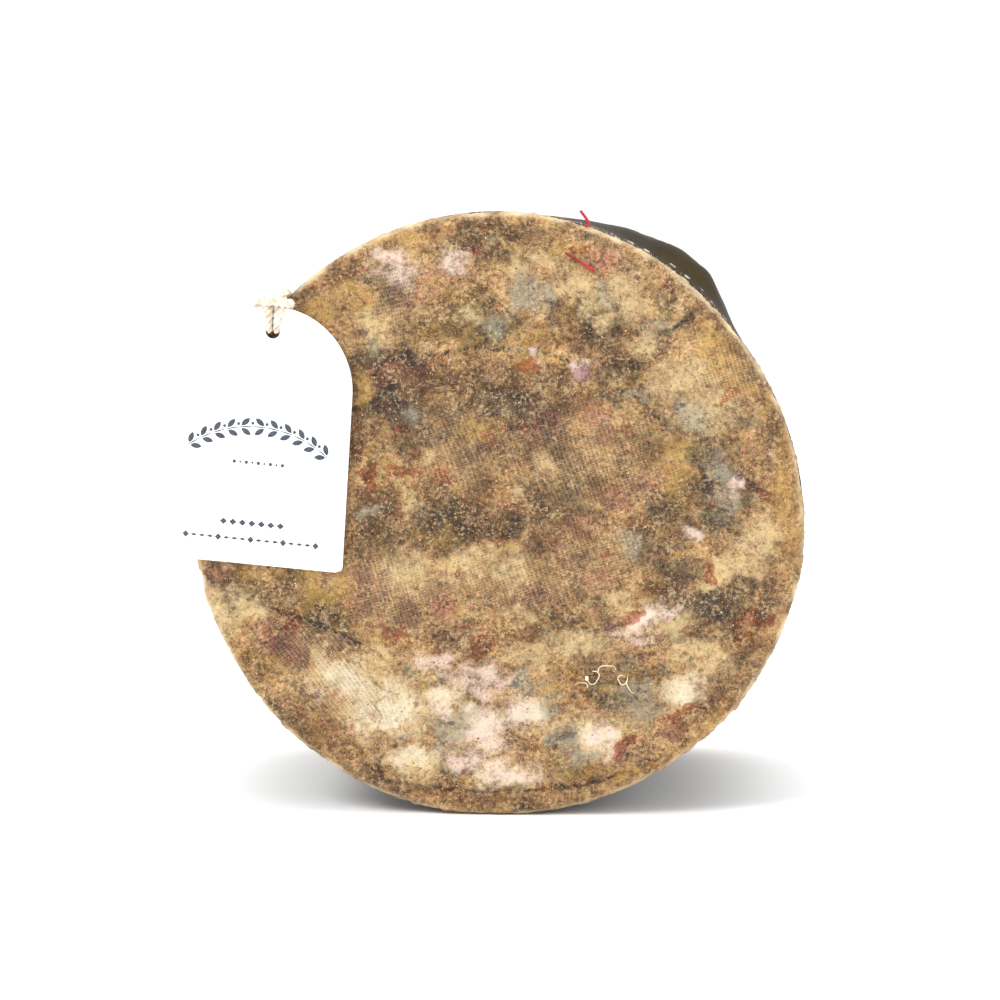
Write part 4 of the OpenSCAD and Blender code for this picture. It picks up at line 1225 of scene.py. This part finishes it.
# Squeezed in the hole, the string swells and loosens away from it
from_hole = np.linalg.norm(string_route - from_tag([(0, 0, 0)])[0], axis=1) / MM
fat = (1 + SWELLS_BY * ease((from_hole - 1.4) / 3))[:, None]
yarn_routes = []
for ply in range(3):
    ply_route = wound(string_route, PLY_OUT * STRING_R * MM * fat, PLY_PITCH * MM, ply * 2 * math.pi / 3)
    for yarn in range(YARNS):
        turn = yarn * 2 * math.pi / YARNS
        yarn_routes.append(wound(ply_route, YARN_OUT * STRING_R * MM * fat, -YARN_PITCH * MM, turn))
yarn_radius = YARN_THICK * STRING_R * MM * fat[:, 0]
string = threads("cotton_string", yarn_routes, [yarn_radius] * len(yarn_routes), 6)

draw = np.random.default_rng(401)


def fibre(root, towards, length, bend):
    """One short fibre: five points that start along a direction and bend away."""
    towards = np.asarray(towards) / np.linalg.norm(towards)
    aside = draw.normal(size=3)
    share = np.linspace(0, 1, 5)[:, None]
    return root + length * share * towards + bend * length * share ** 2 * aside


# The cut end of the string is splayed, to the left of the bar
splay_root = from_tag([(-3.3, TOP + 0.9, 0.9)])[0]
splay_tip = from_tag([(-5.0, TOP - 0.9, 1.0)])[0]
splay_routes = []
for strand in range(SPLAYED_FIBRES):
    root = splay_root + draw.normal(size=3) * 0.3 * MM
    tip = splay_tip + draw.normal(size=3) * (0.45, 0.3, 0.4) * MM
    splay_routes.append(fibre(root, tip - root, np.linalg.norm(tip - root), 0.12))
# Loose fibres stand out all along the string
for strand in range(LOOSE_FIBRES):
    at = draw.integers(2, len(string_route) - 2)
    outward = draw.normal(size=3)
    outward /= np.linalg.norm(outward)
    splay_routes.append(fibre(string_route[at] + outward * 0.75 * STRING_R * MM,
                              outward + 0.8 * draw.normal(size=3), draw.uniform(0.4, 1.1) * MM, 0.4))
splay_radii = [0.03 * MM] * SPLAYED_FIBRES + [0.013 * MM] * LOOSE_FIBRES
splay = threads("string_fibres", splay_routes, splay_radii, 4)

cotton_finish, tree, output = new_material("white_cotton")
place = add_node(tree, "ShaderNodeTexCoord").outputs["Object"]
lint = noise(tree, place, 0.00025, 3, 0.7)
soiled = fit(tree, noise(tree, place, 0.0018, 3, 0.6), 0.35, 0.65)
colour = paint(tree, soiled, srgb(236, 228, 214), srgb(206, 190, 166))
fluff = add_node(tree, "ShaderNodeBump", {"Height": lint, "Strength": 0.5, "Distance": 0.0001})
finish_with(tree, output, {"Base Color": colour, "Roughness": fit(tree, lint, 0.3, 0.7, 0.8, 0.95),
                           "Normal": fluff.outputs[0], "Sheen Weight": 0.4})
for piece in (string, splay):
    piece.data.materials.append(cotton_finish)
    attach(piece, "root")
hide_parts("string")

# ---- Red thread ----------------------------------------------------------------------
# Waxed red thread of two plies closes the cloth. One stitch lies on the face, and a cut
# end stands up out of the rim behind it.
THREAD_R = 0.3
STITCH_LENGTH = 8.2
STITCH_SLOPE = math.radians(-32)
STITCH_START = (17.5, 67.5)
END_AT = math.radians(73)

shares = np.linspace(0, 1, 60)
bowed = 0.15 * np.sin(math.pi * shares)
dipped = 0.35 * (2 * shares - 1) ** 8
stitch_route = np.column_stack([
    STITCH_START[0] + shares * STITCH_LENGTH * math.cos(STITCH_SLOPE),
    FACE_Y / MM - THREAD_R * 1.5 - 0.1 + dipped,
    AXIS_Z / MM + STITCH_START[1] + shares * STITCH_LENGTH * math.sin(STITCH_SLOPE) + bowed]) * MM
end_foot = float(outline(END_AT)) / MM
end_points = []
for stand_off, sideways in ((-0.6, -0.1), (0.08, 0), (0.55, 0.25), (1.0, 0.35), (1.9, -0.3), (4.3, -2.7)):
    out = end_foot + stand_off + CLEAR
    end_points.append((out * math.cos(END_AT) + sideways, FACE_Y / MM + RIM_R / MM + 0.2,
                       AXIS_Z / MM + out * math.sin(END_AT)))
end_route = even_route(smoothed(np.array(end_points) * MM, 3), 0.1 * MM)
red_pieces = []
for name, node, route, fat in (("red_stitch_thread", "red_stitch", stitch_route, 1.2 + 0.35 * shares ** 3),
                               ("red_cut_end", "red_thread_end", end_route, 1.4)):
    plies = [wound(route, 0.5 * THREAD_R * MM, 1.5 * MM, turn) for turn in (0, math.pi)]
    thread = threads(name, plies, [0.62 * THREAD_R * MM * fat] * 2, 8)
    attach(thread, "root")
    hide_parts(node)
    red_pieces.append(thread)
red_finish, tree, output = new_material("waxed_red_thread")
place = add_node(tree, "ShaderNodeTexCoord").outputs["Object"]
waxy = noise(tree, place, 0.0004, 3, 0.6)
right_end = fit(tree, add_node(tree, "ShaderNodeSeparateXYZ", {0: place}).outputs["X"], 0.0195, 0.0235)
colour = paint(tree, right_end, srgb(132, 24, 30), srgb(186, 28, 38))
colour = paint(tree, fit(tree, waxy, 0.5, 0.75, 0, 0.5), colour, srgb(92, 18, 24))
wound_bump = add_node(tree, "ShaderNodeBump", {"Height": waxy, "Strength": 0.4, "Distance": 0.0001})
finish_with(tree, output, {"Base Color": colour, "Roughness": fit(tree, waxy, 0.3, 0.7, 0.35, 0.6),
                           "Normal": wound_bump.outputs[0]})
for thread in red_pieces:
    thread.data.materials.append(red_finish)

# ---- Fibres of the cloth -------------------------------------------------------------
# The folded edge of the muslin has frayed: short pale fibres stand on the rim, thickest
# at the upper right, and a few lie loose on the faces.
FRAYED_FIBRES = 1500
RIM_FIBRES = 520
FACE_FIBRES = 200
draw = np.random.default_rng(503)
lint_routes = []
lint_radii = []


def rim_fibre(degrees, facing, roll_degrees, length):
    """A fibre rooted on the rounded rim of the front (-1) or back (1) end."""
    angle, roll = math.radians(degrees), math.radians(roll_degrees)
    out = float(outline(angle)) - RIM_R + (RIM_R - 0.1 * MM) * math.sin(roll)
    y = facing * (BACK_Y - RIM_R + (RIM_R - 0.1 * MM) * math.cos(roll))
    root = np.array([out * math.cos(angle), y, AXIS_Z + out * math.sin(angle)])
    outward = np.array([math.cos(angle) * math.sin(roll), facing * math.cos(roll),
                        math.sin(angle) * math.sin(roll)])
    sideways = np.array([-math.sin(angle), 0, math.cos(angle)])
    towards = outward * draw.uniform(0.2, 1) + sideways * draw.normal() * 0.9 + 0.3 * draw.normal(size=3)
    lint_routes.append(fibre(root, towards, length * MM, 0.35))
    lint_radii.append(draw.uniform(0.016, 0.03) * MM)


for strand in range(FRAYED_FIBRES):
    rim_fibre(draw.normal(58, 8), -1, draw.uniform(40, 85), draw.uniform(0.3, 1.0))
for facing in (-1, 1):
    for strand in range(RIM_FIBRES):
        rim_fibre(draw.uniform(-75, 255), facing, draw.uniform(20, 85), draw.uniform(0.3, 0.9))
    for strand in range(FACE_FIBRES):
        far, turn = CHEESE_R * 0.97 * math.sqrt(draw.uniform()), draw.uniform(0, 2 * math.pi)
        root = np.array([far * math.cos(turn), facing * (BACK_Y - 0.05 * MM),
                         AXIS_Z + far * math.sin(turn)])
        towards = np.array([draw.normal(), facing * 0.35, draw.normal()])
        lint_routes.append(fibre(root, towards, draw.uniform(0.5, 1.8) * MM, 0.3))
        lint_radii.append(draw.uniform(0.015, 0.03) * MM)
lint = threads("muslin_fibres", lint_routes, lint_radii, 4)
lint_finish, tree, output = new_material("muslin_lint")
place = add_node(tree, "ShaderNodeTexCoord").outputs["Object"]
aged = fit(tree, noise(tree, place, 0.004, 2, 0.5), 0.4, 0.6)
colour = paint(tree, aged, srgb(238, 224, 196), srgb(206, 178, 134))
finish_with(tree, output, {"Base Color": colour, "Roughness": 0.9})
lint.data.materials.append(lint_finish)
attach(lint, "root")

# Yarns that have come out of the weave curl on the face, beside two small knots. Each
# curl is its place on the face, radius, start and sweep; each knot is its place
CURLS = [(24.6, -40.6, 1.7, 200, 250), (28.4, -39.6, 2.2, 20, 150), (32.4, -41.2, 1.2, 90, 300),
         (35.4, -42.6, 1.9, 150, 120), (21.8, -43.4, 1.5, 0, 160)]
KNOTS = [(23.2, -41.2), (23.2, -40.7)]
draw = np.random.default_rng(601)
curl_routes = []
for x, z, radius, start_turn, sweep in CURLS:
    around = np.radians(start_turn + np.linspace(0, sweep, 24))
    wavering = radius * (1 + 0.12 * np.sin(3 * around))
    lift = 0.35 + 0.25 * np.sin(np.linspace(0, math.pi, 24))
    curl_routes.append(np.column_stack([x + wavering * np.cos(around), FACE_Y / MM - lift,
                                        AXIS_Z / MM + z + wavering * np.sin(around)]) * MM)
for x, z in KNOTS:
    curl_routes.append(np.array([(x + aside, FACE_Y / MM - lift, AXIS_Z / MM + z)
                                 for aside, lift in ((-0.25, 0.5), (0, 0.75), (0.25, 0.5))]) * MM)
curl_radii = [0.11 * MM] * len(CURLS) + [0.36 * MM] * len(KNOTS)
curls = threads("loose_yarns", curl_routes, curl_radii, 8)
curls.data.materials.append(lint_finish)
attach(curls, "root")

# ---- Crumbs --------------------------------------------------------------------------
# Dried mould and rind cling to both faces as crumbs, densest where the crust is dark.
# Each is an uneven grain sunk a little into the cloth.
CRUMBS = 4200
CRUMB_LEAST = 0.09
CRUMB_SPREAD = 0.16
CRUMB_STRAY = 0.28
crumb_finish, tree, output = new_material("rind_crumbs")
place = add_node(tree, "ShaderNodeTexCoord").outputs["Object"]
kind = add_node(tree, "ShaderNodeAttribute", attribute_name="crumb_shade").outputs["Fac"]
shades = graded(tree, kind, [(0.0, srgb(64, 44, 30)), (0.35, srgb(116, 82, 52)), (0.55, srgb(166, 128, 84)),
                             (0.8, srgb(190, 158, 110)), (1.0, srgb(214, 190, 146))])
dusty = noise(tree, place, 0.0004, 3, 0.7)
colour = paint(tree, fit(tree, dusty, 0.45, 0.7, 0, 0.5), shades, srgb(120, 92, 64))
finish_with(tree, output, {"Base Color": colour, "Roughness": fit(tree, dusty, 0.3, 0.7, 0.7, 0.9)})

bpy.ops.object.select_all(action="DESELECT")
bpy.ops.mesh.primitive_ico_sphere_add(subdivisions=1, radius=1)
grain_piece = bpy.context.object
grain_shape = vertex_places(grain_piece.data)
grain_faces = np.array([list(face.vertices) for face in grain_piece.data.polygons])
bpy.data.objects.remove(grain_piece)
for end_piece, name in ((front_end, "rind_crumbs_front"), (back_end, "rind_crumbs_back")):
    ground = vertex_places(end_piece.data)
    crusted = np.zeros(len(ground), np.float32)
    end_piece.data.attributes["mould_crust"].data.foreach_get("value", crusted)
    on_face = np.hypot(ground[:, 0], ground[:, 2] - AXIS_Z) < CHEESE_R - RIM_R
    weight = np.where(on_face, 0.25 + crusted + 0.4 * waves(ground[:, ::2] / MM, 5, 602), 0).clip(0)
    roots = ground[draw.choice(len(ground), CRUMBS, p=weight / weight.sum())]
    roots[:, ::2] += draw.uniform(-CRUMB_STRAY, CRUMB_STRAY, (CRUMBS, 2)) * MM
    sizes = (CRUMB_LEAST + CRUMB_SPREAD * draw.random(CRUMBS) ** 2)[:, None, None]
    sizes = sizes * draw.uniform(0.6, 1.3, (CRUMBS, 1, 3)) * MM
    grains = grain_shape[None] * draw.uniform(0.75, 1.25, (CRUMBS, len(grain_shape), 1)) * sizes
    places = (roots[:, None] + grains).reshape(-1, 3)
    faces = (np.arange(CRUMBS)[:, None, None] * len(grain_shape) + grain_faces[None]).reshape(-1, 3)
    mesh = bpy.data.meshes.new(name)
    mesh.from_pydata(places.tolist(), [], faces.tolist())
    put_values(mesh, "crumb_shade", np.repeat(draw.random(CRUMBS), len(grain_shape)))
    crumbs = bpy.data.objects.new(name, mesh)
    bpy.context.scene.collection.objects.link(crumbs)
    crumbs.data.materials.append(crumb_finish)
    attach(crumbs, "root")
